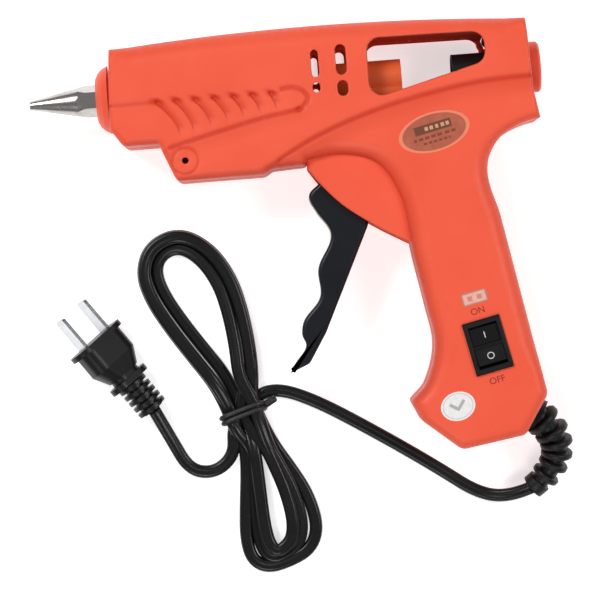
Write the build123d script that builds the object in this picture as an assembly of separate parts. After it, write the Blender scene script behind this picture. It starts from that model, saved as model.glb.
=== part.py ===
from build123d import *
import os
from math import atan2, cos, degrees, pi, radians, sin, tan

# Hot-melt glue gun with a trigger feed, lying on its side with its mains cord folded beside it.
# Millimetres. X runs back along the barrel, from the nozzle to the glue-stick inlet. Y points to the
# barrel's top, so the handle is towards -Y. Z is up through the gun's thickness, and the lower shell
# rests on Z = 0. The origin is on that face, under the barrel's axis.
# Gun pieces are drawn about the gun's middle plane and are lifted onto the surface when written.

# ---- casing ----
half_thickness = 19.0        # middle plane to the flat side
wall = 2.2
shoulder = 2.6               # step of the hollow behind a rounded edge
shoulder_depth = 6.0
barrel_round = 8.0           # edge rounding along the barrel
grip_round = 5.5
foot_round = 5.0
nose_x = -67.5               # front face of the casing
tail_x = 97.3                # rear face of the casing
barrel_top = 18.4            # at both ends; the crown rises above it
crown = 3.6
barrel_bottom = -19.8
foot_bottom = -34.8
pod_half = 13.0              # half thickness of the cheeks round the trigger
grip_foot = -147.7           # lowest point of the handle
groove_depth = 0.5
groove_width = 1.1
gap = 0.1                    # clearance round a piece that is clamped or seated
running = 0.06               # radial clearance of a turning or sliding fit

# ---- barrel pieces, all round the barrel's axis ----
stick_bore = 6.1             # radius of the way for a glue stick
nozzle_tip_x = -100.0
nozzle_tip_r = 1.75
nozzle_orifice_r = 0.9
nozzle_slope = 0.204         # rise of the cone's radius per millimetre
hex_flats = 11.0
nozzle_shank_r = 3.4
nozzle_shank_end = -61.0
collar_front = -73.4
collar_r = 13.4
collar_neck_r = 11.4
chamber_r = 9.2
chamber_front = -70.0
chamber_rear = -14.0
spigot_r = 7.4
spigot_end = -3.0
plate_thick = 2.0
front_plate_x = -62.0
plate_half = 15.6
plate_corner = 5.8
pocket_x0 = -46.0
pocket_x1 = -18.0
pocket_bottom = -18.5
pocket_half = 9.0
heater_width = 12.0
heater_thick = 2.4
electrode_thick = 0.8
film_thick = 0.3
sleeve_r = 9.0
sleeve_front = -11.9
sleeve_end = 4.0
clip_x = -8.0
guide_r = 7.3
guide_front = 67.0
guide_rear = 94.0
inlet_end = 101.6
inlet_r = 10.0
inlet_flange_r = 12.2
inlet_flange_x = 89.0

# ---- trigger and feed ----
pivot = (24.0, -40.0)
pin_height = -13.0           # height of the carriage pin, on the straight line it slides along
trigger_travel = 25.0        # degrees
trigger_half = 9.0
hub_half = 10.4
cheek_gap = 10.8             # half width of the slot between the cheeks
pin_r = 2.0
arm_half = 3.4
slot_play = 0.15             # round the carriage pin, in the trigger's slotted arm
carriage_r = 7.25
carriage_front = 18.0
carriage_rear = 47.0
lug_in = 3.9
lug_out = 7.0
jaw_pin = (43.0, -12.3)
jaw_pin_r = 1.5
spring_r = 2.3
spring_rear = 66.0
spring_wire = 0.7

# ---- switch ----
switch_at = (71.7, -107.8)
switch_turn = 12.0           # degrees, in line with the handle
bezel = (15.0, 21.0)
bezel_thick = 1.5
switch_box = (13.0, 19.0)
switch_depth = 13.5
rocker_half = (5.5, 7.4)
rocker_tilt = 11.0           # degrees each side of level

# ---- cord ----
cord_r = 2.1                 # tube of the same section as the 3.2 by 5.2 mm flat cord
cord_z = 2.1
boot_tail_r = 4.6

parts = {}


def box(x0, x1, y0, y1, z0, z1):
    """A block between two corners."""
    return Pos((x0 + x1) / 2, (y0 + y1) / 2, (z0 + z1) / 2) * Box(x1 - x0, y1 - y0, z1 - z0)


def rod(x0, x1, r):
    """A round bar on the barrel's axis."""
    return Pos(x0, 0, 0) * Rot(0, 90, 0) * Cylinder(r, x1 - x0, align=(Align.CENTER, Align.CENTER, Align.MIN))


def ring(x0, x1, r_out, r_in):
    return rod(x0, x1, r_out) - rod(x0 - 1, x1 + 1, r_in)


def post(x, y, r, z0, z1):
    """A round bar across the gun."""
    return Pos(x, y, z0) * Cylinder(r, z1 - z0, align=(Align.CENTER, Align.CENTER, Align.MIN))


def turned(profile):
    """A solid turned about the barrel's axis from (x, r) points."""
    return revolve(make_face(Polyline(*profile, close=True)), Axis.X, 360)


def slab(face, height, radius, soft):
    """The outline raised to a height, with the top edges that soft picks rounded."""
    block = extrude(face, height)
    edges = [e for e in block.edges().group_by(Axis.Z)[-1] if soft((e @ 0.5).X, (e @ 0.5).Y)]
    return fillet(edges, radius)


def groove(path, width, depth):
    """A shallow channel along a line on the flat side."""
    return Pos(0, 0, half_thickness - depth) * extrude(trace(path, width), depth + 1)


# ---- outlines of the casing ----
def barrel_face():
    top = ThreePointArc((nose_x + 1, barrel_top), (20, barrel_top + crown), (tail_x - 1, barrel_top))
    rest = Polyline(
        (tail_x - 1, barrel_top),
        (tail_x, -10),
        (tail_x, barrel_bottom + 6),
        (60, barrel_bottom),
        (nose_x + 4, barrel_bottom),
        (nose_x - 0.8, -12.7),
        (nose_x + 1, barrel_top),
    )
    return make_face(top + rest)


def foot_face():
    return make_face(
        Polyline(
            (-50.5, -9),
            (-49.8, barrel_bottom),
            (-43.8, foot_bottom),
            (-9.5, foot_bottom),
            (-6.5, foot_bottom + 2),
            (7.4, foot_bottom + 2.6),
            (7.4, -9),
            close=True,
        )
    )


def grip_face():
    back = Spline(
        (99.4, -21), (85.2, -25.8), (78.7, -33.8), (77.5, -43), (81.2, -58),
        tangents=[(-1, -0.1), (12.8, -70.5)],
    )
    base = Polyline(
        (81.2, -58), (94, -128.5), (84.2, -143.8), (59, grip_foot), (44.3, grip_foot + 12.4), (40.7, -127.5),
    )
    front = Spline(
        (40.7, -127.5), (47.2, -120.5), (51.6, -106), (49.4, -90), (45.4, -66),
        tangents=[(0.6, 0.8), (-0.12, 1)],
    )
    arch = Spline(
        (45.4, -66), (42.3, -46.6), (34.2, -33.4), (21, -29.2), (7.4, -30.4),
        tangents=[(-0.12, 1), (-1, -0.12)],
    )
    top = Polyline((7.4, -30.4), (2, -30.9), (2, -4), (tail_x - 0.4, -4), (tail_x, -10), (99.4, -21))
    return make_face(back + base + front + arch + top)


def pod_face():
    edge = Spline((7.4, -34), (13.4, -42), (21.2, -50), (32.4, -58), (46, -66.2))
    rest = Polyline((46, -66.2), (52, -66.2), (52, -28), (7.4, -28), (7.4, -34))
    return make_face(edge + rest)


def barrel_edge(x, y):
    return abs(y) > 14 and nose_x + 6 < x < tail_x - 4


def foot_edge(x, y):
    return y < -15 and x < 6


def grip_edge(x, y):
    return y < -21.3 and x > 6


def casing():
    """The outside of half the casing, from the middle plane up, without the cheeks."""
    body = slab(barrel_face(), half_thickness, barrel_round, barrel_edge)
    body += slab(foot_face(), half_thickness, foot_round, foot_edge)
    body += slab(grip_face(), half_thickness, grip_round, grip_edge)
    return body


def sink(face, inset):
    """The outline moved inwards, its curves redrawn through points so that they stay plain curves."""
    border = Curve()
    for edge in offset(face, -inset, kind=Kind.INTERSECTION).edges():
        if edge.geom_type == GeomType.LINE:
            border += Line(edge @ 0, edge @ 1)
        else:
            border += Spline(*[edge @ (step / 8) for step in range(9)])
    return make_face(border)


def hollow():
    """The space inside, stepped in near the flat side so that the rounded edges keep their wall."""
    space = None
    for face in (barrel_face(), foot_face(), grip_face()):
        steps = [(wall, half_thickness - shoulder_depth), (wall + shoulder, half_thickness - wall)]
        for inset, height in steps:
            level = extrude(sink(face, inset), height)
            space = level if space is None else space + level
    return space


# ---- places that several pieces share ----
screw_posts = [
    (-54, 13.2), (-30, -26.5), (2, 13.2), (83.4, 12.6), (86, -17.2), (66, -52), (56.5, -88), (52, -131),
]
stand_hole = (-39.8, -27.2)
post_r = 3.1
pilot_r = 1.1
screw_r = 1.4
screw_head_r = 2.8
screw_head_depth = 5.0
slide = (pin_height - pivot[1]) * tan(radians(trigger_travel / 2))
carriage_pin = (pivot[0] + slide, pin_height)
carriage_travel = 2 * slide
carriage_ribs = (20.0, 30.0)
guide_rib = 84.0
rib_thick = 2.0
rib_foot = -3.8              # clear above the carriage's lugs
stay_thick = 1.5             # ribs that hold the chamber plates
stay_half = 8.0
stay_deep = 5.5
boss_r = 4.2                 # behind the hole for the wire stand
boss_deep = 8.0
stand_hole_r = 1.2
stand_hole_deep = 7.0
hinge_boss_r = 4.2
clamp_post_r = 2.8
boot_dir = Vector(cos(radians(-33)), sin(radians(-33)), 0)
boot_at = Vector(89.1, -136.1, 0)
boot_neck_r = 6.0
boot_flange_r = 7.4
vents = [(13.2, 2.8, 11.8, 1.2), (13.2, 2.8, -0.7, -4.8), (23.4, 4.0, 13.2, 1.4), (23.4, 4.0, -0.8, -6.8)]


def window_face():
    corners = Polyline((33.8, 14.8), (33.8, -9.1), (79.5, 2.6), (79.5, 14.2), close=True)
    window = make_face(corners)
    return fillet(window.vertices(), 5.0)


def vent_cut(x, width, top, bottom):
    height = half_thickness + 1
    if top - bottom - width < 0.2:
        return post(x, (top + bottom) / 2, (top - bottom) / 2, 8, height)
    slot = Pos(x, (top + bottom) / 2) * SlotOverall(top - bottom, width, rotation=90)
    return Pos(0, 0, 8) * extrude(slot, height - 8)


def panel_grooves():
    """The cooling-rib pattern and the long line that runs from the trigger to the tail."""
    sweep_line = Spline((-3.5, -29.6), (10.4, -22.2), (26.8, -15.8), (47.4, -10.1), (74.7, -5.3), (96, -4.2))
    cuts = groove(sweep_line, groove_width, groove_depth)
    cuts += groove(Line((nose_x + 3, -3.5), (-50.4, -3.5)), groove_width, groove_depth)
    lower_line = Polyline((-44, -21.3), (-19, -15.2), (5.9, -11.2))
    cuts += groove(lower_line, groove_width, groove_depth)
    cuts += groove(ThreePointArc((0.4, -2.9), (8.8, -7.4), (5.9, -11.2)), groove_width, groove_depth)
    rib_count = 7
    rib_pitch = 7.43
    for number in range(rib_count):
        top = (-50.2 + number * rib_pitch, -3.9)
        reach = 12.5 - number * 1.05
        middle = (top[0] + 5.4, top[1] - reach * 0.45)
        bottom = (top[0] + 8.6 - number * 0.6, top[1] - reach)
        cuts += groove(ThreePointArc(top, middle, bottom), groove_width, groove_depth)
    return cuts


def cradle(x, r, thick, drop):
    """A rib across the shell with a half-round seat for a tube on the axis."""
    roof = half_thickness - wall / 2
    rib = box(x, x + thick, drop, barrel_top - 1, 0, roof)
    return rib - rod(x - 1, x + thick + 1, r)


def shell():
    """One half shell, middle plane at Z = 0 and flat side up."""
    limits = casing()
    body = limits + extrude(pod_face(), pod_half)
    slot = Polyline((9, -24), (9, -72), (43, -72), (44.4, -62), (50, -62), (50, -24), close=True)
    body -= hollow()
    body -= extrude(make_face(slot), cheek_gap)
    ribs = cradle(carriage_ribs[0], carriage_r + running, rib_thick, rib_foot)
    ribs += cradle(carriage_ribs[1], carriage_r + running, rib_thick, rib_foot)
    ribs += cradle(guide_rib, guide_r + gap, rib_thick, -10)
    roof = half_thickness - wall / 2
    for plate_x in (front_plate_x, chamber_rear):
        for x in (plate_x - gap - stay_thick, plate_x + plate_thick + gap):
            ribs += box(x, x + stay_thick, -stay_half, stay_half, half_thickness - stay_deep, roof)
    for x, y in screw_posts:
        ribs += post(x, y, post_r, 0, roof)
    body += ribs & limits
    body += post(*stand_hole, boss_r, half_thickness - boss_deep, roof)
    body -= post(*stand_hole, stand_hole_r, half_thickness - stand_hole_deep, half_thickness + 1)
    body -= Pos(0, 0, -1) * extrude(window_face(), half_thickness + 2)
    for vent in vents:
        body -= vent_cut(*vent)
    body -= rod(nose_x - 2, nose_x + 2 * wall, collar_neck_r + gap)
    body -= rod(inlet_flange_x + 3, tail_x + 2, inlet_r + gap)
    boot_plane = Plane(boot_at, z_dir=boot_dir)
    body -= boot_plane * Cylinder(boot_neck_r + gap, 4 * wall)
    body += post(*pivot, hinge_boss_r, cheek_gap, pod_half)
    body -= post(*pivot, pin_r + gap / 2, 0, cheek_gap + 1.5)
    body -= panel_grooves()
    return body - box(-120, 120, -160, 40, -40, 0)


half_shell = shell()


def clamp_posts():
    """Two posts in the lower shell that the cord clamp screws down on."""
    both = None
    for side in (-1, 1):
        spot = clamp_at + clamp_across * side * clamp_reach
        one = post(spot.X, spot.Y, clamp_post_r, cord_r, half_thickness - wall / 2)
        one -= post(spot.X, spot.Y, pilot_r, 0, half_thickness - wall - 1)
        both = one if both is None else both + one
    return both


clamp_at = boot_at - boot_dir * 14
clamp_across = Vector(-boot_dir.Y, boot_dir.X, 0)
clamp_reach = 6.2


def upper_housing():
    body = half_shell
    for x, y in screw_posts:
        body -= post(x, y, pilot_r, -1, half_thickness - wall - 1)
    cut = Pos(*switch_at, half_thickness) * Rot(0, 0, switch_turn) * Box(
        switch_box[0] + 2 * gap, switch_box[1] + 2 * gap, 4 * wall
    )
    return body - cut


def lower_housing():
    body = half_shell + clamp_posts()
    for x, y in screw_posts:
        body -= post(x, y, screw_r + gap, -1, half_thickness + 1)
        body -= post(x, y, screw_head_r + gap, half_thickness - screw_head_depth, half_thickness + 1)
    return mirror(body, Plane.XY)


parts["housing_upper"] = upper_housing()
parts["housing_lower"] = lower_housing()


def housing_screw(x, y):
    """Pan-head self-tapping screw, head down in its counterbore."""
    seat = -(half_thickness - screw_head_depth)
    head = post(x, y, screw_head_r, seat - 2.0, seat)
    head = fillet(head.edges().group_by(Axis.Z)[0], 0.8)
    shank = post(x, y, screw_r, seat, 0)
    thread = post(x, y, pilot_r - 0.02, 0, 8)
    cross = box(x - 1.5, x + 1.5, y - 0.35, y + 0.35, seat - 2.5, seat - 0.9)
    cross += box(x - 0.35, x + 0.35, y - 1.5, y + 1.5, seat - 2.5, seat - 0.9)
    return head + shank + thread - cross


parts["housing_screws"] = Compound(children=[housing_screw(*spot) for spot in screw_posts])

# ---- nose, nozzle and melt chamber ----
lip_r = 7.2
catch_r = 12.9                # lip that holds the collar behind the front wall
catch_x = nose_x + wall + 0.9
collar_profile = [
    (collar_front, lip_r), (collar_front, 8.6), (collar_front + 1.0, 10.6), (collar_front + 2.6, 12.2),
    (collar_front + 4.8, collar_r), (nose_x - 1.0, collar_r), (nose_x - 1.0, collar_neck_r),
    (catch_x, collar_neck_r), (catch_x, catch_r), (catch_x + 1.5, catch_r),
    (catch_x + 1.5, chamber_r + 0.4), (chamber_front - 0.6, chamber_r + 0.4), (chamber_front - 0.6, lip_r),
]
parts["nose_collar"] = turned(collar_profile)

hex_back = chamber_front - gap


def make_nozzle():
    cone_end_r = nozzle_tip_r + nozzle_slope * (hex_back - nozzle_tip_x)
    cone = turned([(nozzle_tip_x, 0), (nozzle_tip_x, nozzle_tip_r), (hex_back, cone_end_r), (hex_back, 0)])
    hexagon = RegularPolygon(hex_flats / 2, 6, major_radius=False, rotation=0)
    prism = extrude(Plane.YZ.offset(nozzle_tip_x) * hexagon, hex_back - nozzle_tip_x)
    body = (cone & prism) + rod(hex_back, nozzle_shank_end, nozzle_shank_r)
    way = turned([
        (nozzle_tip_x - 1, 0), (nozzle_tip_x - 1, nozzle_orifice_r), (nozzle_tip_x + 5, nozzle_orifice_r),
        (nozzle_shank_end - 4, 2.2), (nozzle_shank_end + 1, 2.4), (nozzle_shank_end + 1, 0),
    ])
    return body - way


parts["nozzle"] = make_nozzle()


def make_chamber():
    body = rod(chamber_front, chamber_rear, chamber_r) + rod(chamber_rear, spigot_end, spigot_r)
    body += box(pocket_x0, pocket_x1, pocket_bottom, -4, -pocket_half, pocket_half)
    bore = turned([
        (chamber_front - 1, 0), (chamber_front - 1, nozzle_shank_r + running),
        (nozzle_shank_end + 0.5, nozzle_shank_r + running), (nozzle_shank_end + 0.5, 2.4),
        (-40, 5.2), (-20, stick_bore + 0.1), (spigot_end + 1, stick_bore + 0.1), (spigot_end + 1, 0),
    ])
    tunnel_half = heater_width / 2 + film_thick + gap
    tunnel = box(pocket_x0 - 1, pocket_x1 + 1, tunnel_floor, tunnel_roof, -tunnel_half, tunnel_half)
    return body - bore - tunnel


stack_height = heater_thick + 2 * electrode_thick + 2 * film_thick
wedge_thick = 1.0
tunnel_roof = -10.6
tunnel_floor = tunnel_roof - stack_height - wedge_thick - 2 * gap
parts["melt_chamber"] = make_chamber()

heater_x0 = pocket_x0 + 1
heater_x1 = pocket_x1 - 1
tag_end = pocket_x1 + 2.4    # the electrodes' tags stick out behind the pocket
film_top = tunnel_roof - gap / 2
half_w = heater_width / 2


def stack_layer(top, thick, x0, x1):
    return box(x0, x1, top - thick, top, -half_w, half_w)


upper_top = film_top - film_thick
ptc_top = upper_top - electrode_thick
lower_top = ptc_top - heater_thick
parts["electrode_upper"] = stack_layer(upper_top, electrode_thick, heater_x0, heater_x1)
parts["electrode_upper"] += box(heater_x1, tag_end, upper_top - electrode_thick, upper_top, 1.5, 4.5)
parts["ptc_heater"] = stack_layer(ptc_top, heater_thick, heater_x0, heater_x1)
parts["electrode_lower"] = stack_layer(lower_top, electrode_thick, heater_x0, heater_x1)
parts["electrode_lower"] += box(heater_x1, tag_end, lower_top - electrode_thick, lower_top, -4.5, -1.5)
film_bottom = lower_top - electrode_thick - film_thick
film_half = half_w + film_thick
film = box(heater_x0, heater_x1, film_bottom, film_top, -film_half, film_half)
film -= box(heater_x0 - 1, heater_x1 + 1, film_bottom + film_thick, film_top - film_thick, -half_w, half_w)
parts["heater_film"] = film
wedge_x0 = pocket_x0 - 0.2
parts["wedge_spring"] = box(wedge_x0, heater_x1, film_bottom - wedge_thick, film_bottom, -4, 4)
parts["wedge_spring"] += box(wedge_x0 - 0.8, wedge_x0, film_bottom - wedge_thick - 3, film_bottom, -4, 4)


def chamber_plate(x, hole_r):
    plate = box(x, x + plate_thick, -plate_half, plate_half, -plate_half - 1, plate_half + 1)
    plate = chamfer(plate.edges().filter_by(Axis.X), plate_corner)
    return plate - rod(x - 1, x + plate_thick + 1, hole_r)


parts["chamber_plate_front"] = chamber_plate(front_plate_x, chamber_r + gap)
parts["chamber_plate_rear"] = chamber_plate(chamber_rear + gap / 2, spigot_r + gap)

parts["stick_sleeve"] = turned([
    (sleeve_front, spigot_r + 0.02), (spigot_end + 0.2, spigot_r + 0.02),
    (spigot_end + 0.2, stick_bore + 0.2), (sleeve_end, stick_bore + 0.2),
    (sleeve_end, sleeve_r - 1.2), (sleeve_end - 1.2, sleeve_r), (sleeve_front, sleeve_r),
])
parts["sleeve_clip"] = ring(clip_x, clip_x + 2.4, sleeve_r + 0.8, sleeve_r + 0.02)
parts["sleeve_clip"] += box(clip_x, clip_x + 2.4, sleeve_r + 0.4, sleeve_r + 3.4, -1.6, -0.6)
parts["sleeve_clip"] += box(clip_x, clip_x + 2.4, sleeve_r + 0.4, sleeve_r + 3.4, 0.6, 1.6)

# ---- glue-stick inlet ----
parts["rear_guide"] = ring(guide_front, guide_rear, guide_r, stick_bore + 0.3)
parts["rear_collar"] = turned([
    (inlet_flange_x, guide_r + gap), (inlet_flange_x, inlet_flange_r),
    (inlet_flange_x + 3 - gap, inlet_flange_r),
    (inlet_flange_x + 3 - gap, inlet_r), (inlet_end - 0.8, inlet_r), (inlet_end, inlet_r - 0.8),
    (inlet_end, stick_bore + 1.0), (inlet_end - 1.0, stick_bore), (guide_rear + gap, stick_bore),
    (guide_rear + gap, guide_r + gap),
])

# ---- feed carriage, trigger and jaw ----
lug_front = carriage_pin[0] - 3.4


def make_carriage():
    body = rod(carriage_front, carriage_rear, carriage_r)
    for side in (-1, 1):
        low, high = sorted((side * lug_in, side * lug_out))
        body += box(lug_front, carriage_rear, pin_height - 3.2, -4, low, high)
    body -= rod(carriage_front - 1, carriage_rear + 1, stick_bore)
    body -= box(jaw_pin[0] - 8.4, jaw_pin[0] - 2, -9, -3, -arm_half - 0.3, arm_half + 0.3)
    body -= post(*carriage_pin, pin_r + running, -lug_out - 1, lug_out + 1)
    body -= post(*jaw_pin, jaw_pin_r + running, -lug_out - 1, lug_out + 1)
    return body


parts["feed_carriage"] = make_carriage()
parts["carriage_pin"] = post(*carriage_pin, pin_r, -lug_out, lug_out)
parts["jaw_pin"] = post(*jaw_pin, jaw_pin_r, -lug_out, lug_out)


def make_jaw():
    x, y = jaw_pin
    tooth = Polyline(
        (x - 2.0, y - 2.4), (x - 4.6, y + 1.0), (x - 6.4, -stick_bore - 0.15), (x - 4.6, -stick_bore - 1.2),
        (x - 3.4, -stick_bore - 0.15), (x - 2.4, y + 4.0), (x + 1.5, y + 2.6), close=True,
    )
    body = extrude(make_face(tooth), arm_half, both=True) + post(x, y, 3.0, -arm_half, arm_half)
    return body - post(x, y, jaw_pin_r + running, -arm_half - 1, arm_half + 1)


parts["grip_jaw"] = make_jaw()


def make_trigger():
    front = Spline(
        (10.2, -40.6), (7.0, -44.4), (9.4, -50.4), (14.5, -60),
        (8.6, -72.6), (8.4, -84), (0.9, -93.6), (-5.4, -113),
    )
    back = Polyline(
        (-5.4, -113), (2.4, -109.8), (9.8, -98), (29.5, -57), (31.5, -42), (17, -35), (10.2, -40.6)
    )
    finger = extrude(make_face(front + back), trigger_half, both=True)
    finger += post(*pivot, 6.4, -hub_half, hub_half)
    hollow = Polyline((12, -96), (16.5, -86), (30.5, -57), (34, -50), (33, -96), close=True)
    pocket = Pos(-2.6, 2.0, 0) * extrude(make_face(hollow), trigger_half - 2.4, both=True)
    lean = trigger_travel / 2
    reach = (pin_height - pivot[1]) / cos(radians(lean))
    arm = box(-4.2, 4.2, 0, reach + 3.2, -arm_half, arm_half)
    slot_half = pin_r + slot_play
    slot_foot = pin_height - pivot[1] - slot_half    # the pin is nearest the pivot halfway
    arm -= box(-slot_half, slot_half, slot_foot, reach + 5, -arm_half - 1, arm_half + 1)
    arm = Pos(*pivot, 0) * Rot(0, 0, -lean) * arm
    body = finger - pocket + arm
    return body - post(*pivot, pin_r + running, -hub_half - 1, hub_half + 1)


parts["trigger"] = make_trigger()
parts["trigger_pin"] = post(*pivot, pin_r, -cheek_gap - 1.3, cheek_gap + 1.3)

spring_y = pin_height - 0.6
spring_front = carriage_rear + 0.4
spring_tube = ring(spring_front, spring_rear, spring_r, spring_r - spring_wire)
parts["return_spring"] = Pos(0, spring_y, 0) * spring_tube
inside_half = half_thickness - wall - gap
parts["spring_post"] = post(spring_rear + 1.6, spring_y, 1.5, -inside_half, inside_half)

# ---- switch ----
switch_place = Pos(*switch_at, 0) * Rot(0, 0, switch_turn)
rocker_play = 0.25
rocker_axle_r = 1.1


def make_switch_body():
    top = half_thickness
    body = Pos(0, 0, top + bezel_thick / 2 + gap / 4) * Box(*bezel, bezel_thick - gap / 2)
    body = chamfer(body.edges().group_by(Axis.Z)[-1], 0.6)
    body += Pos(0, 0, top - switch_depth / 2 + 0.1) * Box(*switch_box, switch_depth + 0.2)
    pocket_wide = 2 * (rocker_half[0] + rocker_play)
    pocket_long = 2 * (rocker_half[1] + 1.0)
    body -= Pos(0, 0, top) * Box(pocket_wide, pocket_long, 11)
    axle = Pos(0, 0, top) * Rot(0, 90, 0) * Cylinder(rocker_axle_r + running, 2 * rocker_half[0] + 2.2)
    return switch_place * (body - axle)


def make_rocker():
    long = rocker_half[1]
    side = Polyline((-long, -3.1), (-long, 1.5), (0, 0.5), (long, 1.5), (long, -3.1), (0, -3.6), close=True)
    body = extrude(Plane.YZ * make_face(side), rocker_half[0], both=True)
    body += Rot(0, 90, 0) * Cylinder(rocker_axle_r, 2 * rocker_half[0] + 2.0)
    return switch_place * Pos(0, 0, half_thickness) * Rot(-rocker_tilt, 0, 0) * body


parts["switch_body"] = make_switch_body()
parts["switch_rocker"] = make_rocker()
tab_top = half_thickness - switch_depth
tabs = [switch_place * Pos(0, y, tab_top - 4) * Box(4.8, 0.8, 8) for y in (-5, 5)]
parts["switch_terminals"] = Compound(children=tabs)

# ---- stickers ----
sticker_thick = 0.12


def sticker(face, x, y, turn):
    return Pos(x, y, half_thickness) * Rot(0, 0, turn) * extrude(face, sticker_thick)


parts["oval_label"] = sticker(Ellipse(14.2, 7.7), 57.4, -23.5, 12.5)
parts["panel_label"] = sticker(RectangleRounded(10.5, 5.4, 1.2), 68.0, -88.9, 12)
parts["round_sticker"] = sticker(Ellipse(6.8, 5.6), 58.4, -130.5, 14)

# ---- cord inside the handle ----
cord_end = boot_at - boot_dir * 20
inner_axis = Plane(cord_end, z_dir=boot_dir)
parts["cord_inner"] = inner_axis * Cylinder(cord_r, 16.4, align=(Align.CENTER, Align.CENTER, Align.MIN))
bar_angle = degrees(atan2(clamp_across.Y, clamp_across.X))
clamp_long = 18.4
clamp_wide = 6.0
clamp_thick = 2.6
clamp_top = cord_r + clamp_thick


def make_clamp():
    bar_z = cord_r + (clamp_thick + gap) / 2
    turned_bar = Rot(0, 0, bar_angle) * Box(clamp_long, clamp_wide, clamp_thick - gap)
    bar = Pos(clamp_at.X, clamp_at.Y, bar_z) * turned_bar
    for side in (-1, 1):
        spot = clamp_at + clamp_across * side * clamp_reach
        bar -= post(spot.X, spot.Y, screw_r + gap, 0, clamp_top + 1)
    return bar


def clamp_screw(side):
    spot = clamp_at + clamp_across * side * clamp_reach
    body = post(spot.X, spot.Y, 2.6, clamp_top, clamp_top + 1.8)
    body += post(spot.X, spot.Y, pilot_r - 0.02, -6, clamp_top)
    return body


parts["cord_clamp"] = make_clamp()
parts["clamp_screws"] = Compound(children=[clamp_screw(side) for side in (-1, 1)])


def wire(points, radii):
    """An insulated lead along straight runs and arcs."""
    path = FilletPolyline(*points, radius=radii)
    section = Plane(path @ 0, z_dir=path % 0) * Circle(wire_r)
    return sweep(section, path)


wire_r = 0.9
side_lane = cheek_gap - wire_r - 0.4
wire_start = cord_end - boot_dir * gap
wire_turn = cord_end - boot_dir * 6
core_offset = 1.1
tab_x = pocket_x1 + 1.0
parts["neutral_wire"] = wire(
    [(wire_start.X, wire_start.Y, -core_offset), (wire_turn.X, wire_turn.Y, -core_offset), (64.5, -108, -5),
     (63, -88, -8), (54, -36, -side_lane), (20, -25, -side_lane), (-8, -24.5, -9), (tab_x, -21.5, -3),
     (tab_x, lower_top - electrode_thick - gap / 2, -3)],
    3.0,
)
parts["switch_wire"] = wire(
    [(70.2, -101.5, tab_top - 9.2), (66, -92, 0), (60, -70, 8), (54, -38, side_lane),
     (20, -26, side_lane), (-8, -25.5, 9), (tab_x, -20.5, 3),
     (tab_x, upper_top - electrode_thick - gap / 2, 3)],
    3.0,
)
live_turn = cord_end - boot_dir * 4
parts["live_wire"] = wire(
    [(wire_start.X, wire_start.Y, core_offset), (live_turn.X, live_turn.Y, core_offset), (71, -115.4, -2.8),
     (72.6, -113.4, -3.9)],
    1.2,
)

# ---- everything so far lies on the surface by its lower shell ----
for name in list(parts):
    parts[name] = Pos(0, 0, half_thickness) * parts[name]

# ---- strain relief ----
boot_start = boot_at + Vector(0, 0, half_thickness)
boot_middle = Vector(97.4, -151.6, 14.2)
boot_end = Vector(87.0, -166.0, 8.6)
boot_ribs = 6


def make_boot():
    path = ThreePointArc(boot_start, boot_middle, boot_end)
    body = sweep(Plane(path @ 0, z_dir=path % 0) * Circle(boot_tail_r), path)
    root = Plane(boot_start, z_dir=boot_dir)
    low = (Align.CENTER, Align.CENTER, Align.MIN)
    body += root * Pos(0, 0, -3.6) * Cylinder(boot_neck_r, 6.0, align=low)
    body += root * Pos(0, 0, -3.6) * Cylinder(boot_flange_r, 1.2, align=low)
    for number in range(boot_ribs):
        place = (number + 1) / (boot_ribs + 0.4)
        rib_r = boot_neck_r + 0.6 - 0.22 * number
        body += Plane(path @ place, z_dir=path % place) * Cylinder(rib_r, 2.6)
    return body


parts["strain_relief"] = make_boot()

# ---- free cord: the lead to the hank, the hank, and the tail to the plug ----
tie_at = Vector(-25.7, -128, 0)
tie_turn = 16.9              # degrees; the hank runs straight through the tie
tie_inner_half = 8.0
tie_thick = 1.2
tie_long = 3.2
hank_height = 9.0
hank_width = 11.0            # across the upper loop's bundle of turns
hank_waist = 12.0            # length of the straight run through the tie
hank_steps = 44
lead_points = [
    boot_end, Vector(78.6, -169.4, 5.4), Vector(66, -167.6, cord_z), Vector(50, -155.6, cord_z),
    Vector(28, -140.6, cord_z), Vector(4, -125.4, cord_z), Vector(-12, -118.8, cord_z),
    Vector(-22, -122.6, cord_z),
]
plug_tail = Vector(-61.2, -123.6, 6.8)
plug_front = Vector(-82.4, -93.9, 10.6)
tail_points = [
    Vector(-30.4, -134, cord_z), Vector(-30.6, -144.5, cord_z), Vector(-38.8, -151.1, cord_z),
    Vector(-49.1, -149.1, cord_z), Vector(-55.2, -136.3, 3.6), plug_tail,
]


def bend_radii(points):
    """Each arc takes 0.45 of its shorter run."""
    radii = []
    for before, here, after in zip(points, points[1:], points[2:]):
        turn = (here - before).get_angle(after - here)
        shorter = min((here - before).length, (after - here).length)
        radii.append(0.45 * shorter / tan(radians(turn / 2)))
    return radii


def cord_tube(name, points):
    radii = bend_radii(points)
    path = FilletPolyline(*points, radius=radii)
    tube = sweep(Plane(path @ 0, z_dir=path % 0) * Circle(cord_r), path)
    expected = pi * cord_r ** 2 * path.length
    print(name, "length", round(path.length, 1), "volume ratio", round(tube.volume / expected, 4))
    print("   radii", [round(radius, 1) for radius in radii])
    return tube


def at_tie(shape):
    return Pos(tie_at.X, tie_at.Y, hank_height / 2) * Rot(0, 0, tie_turn) * shape


def tie_ring():
    outer = Box(2 * (tie_inner_half + tie_thick), tie_long, hank_height)
    inner = Box(2 * tie_inner_half, tie_long + 2, hank_height - 2 * tie_thick)
    return at_tie(outer - inner)


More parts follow.
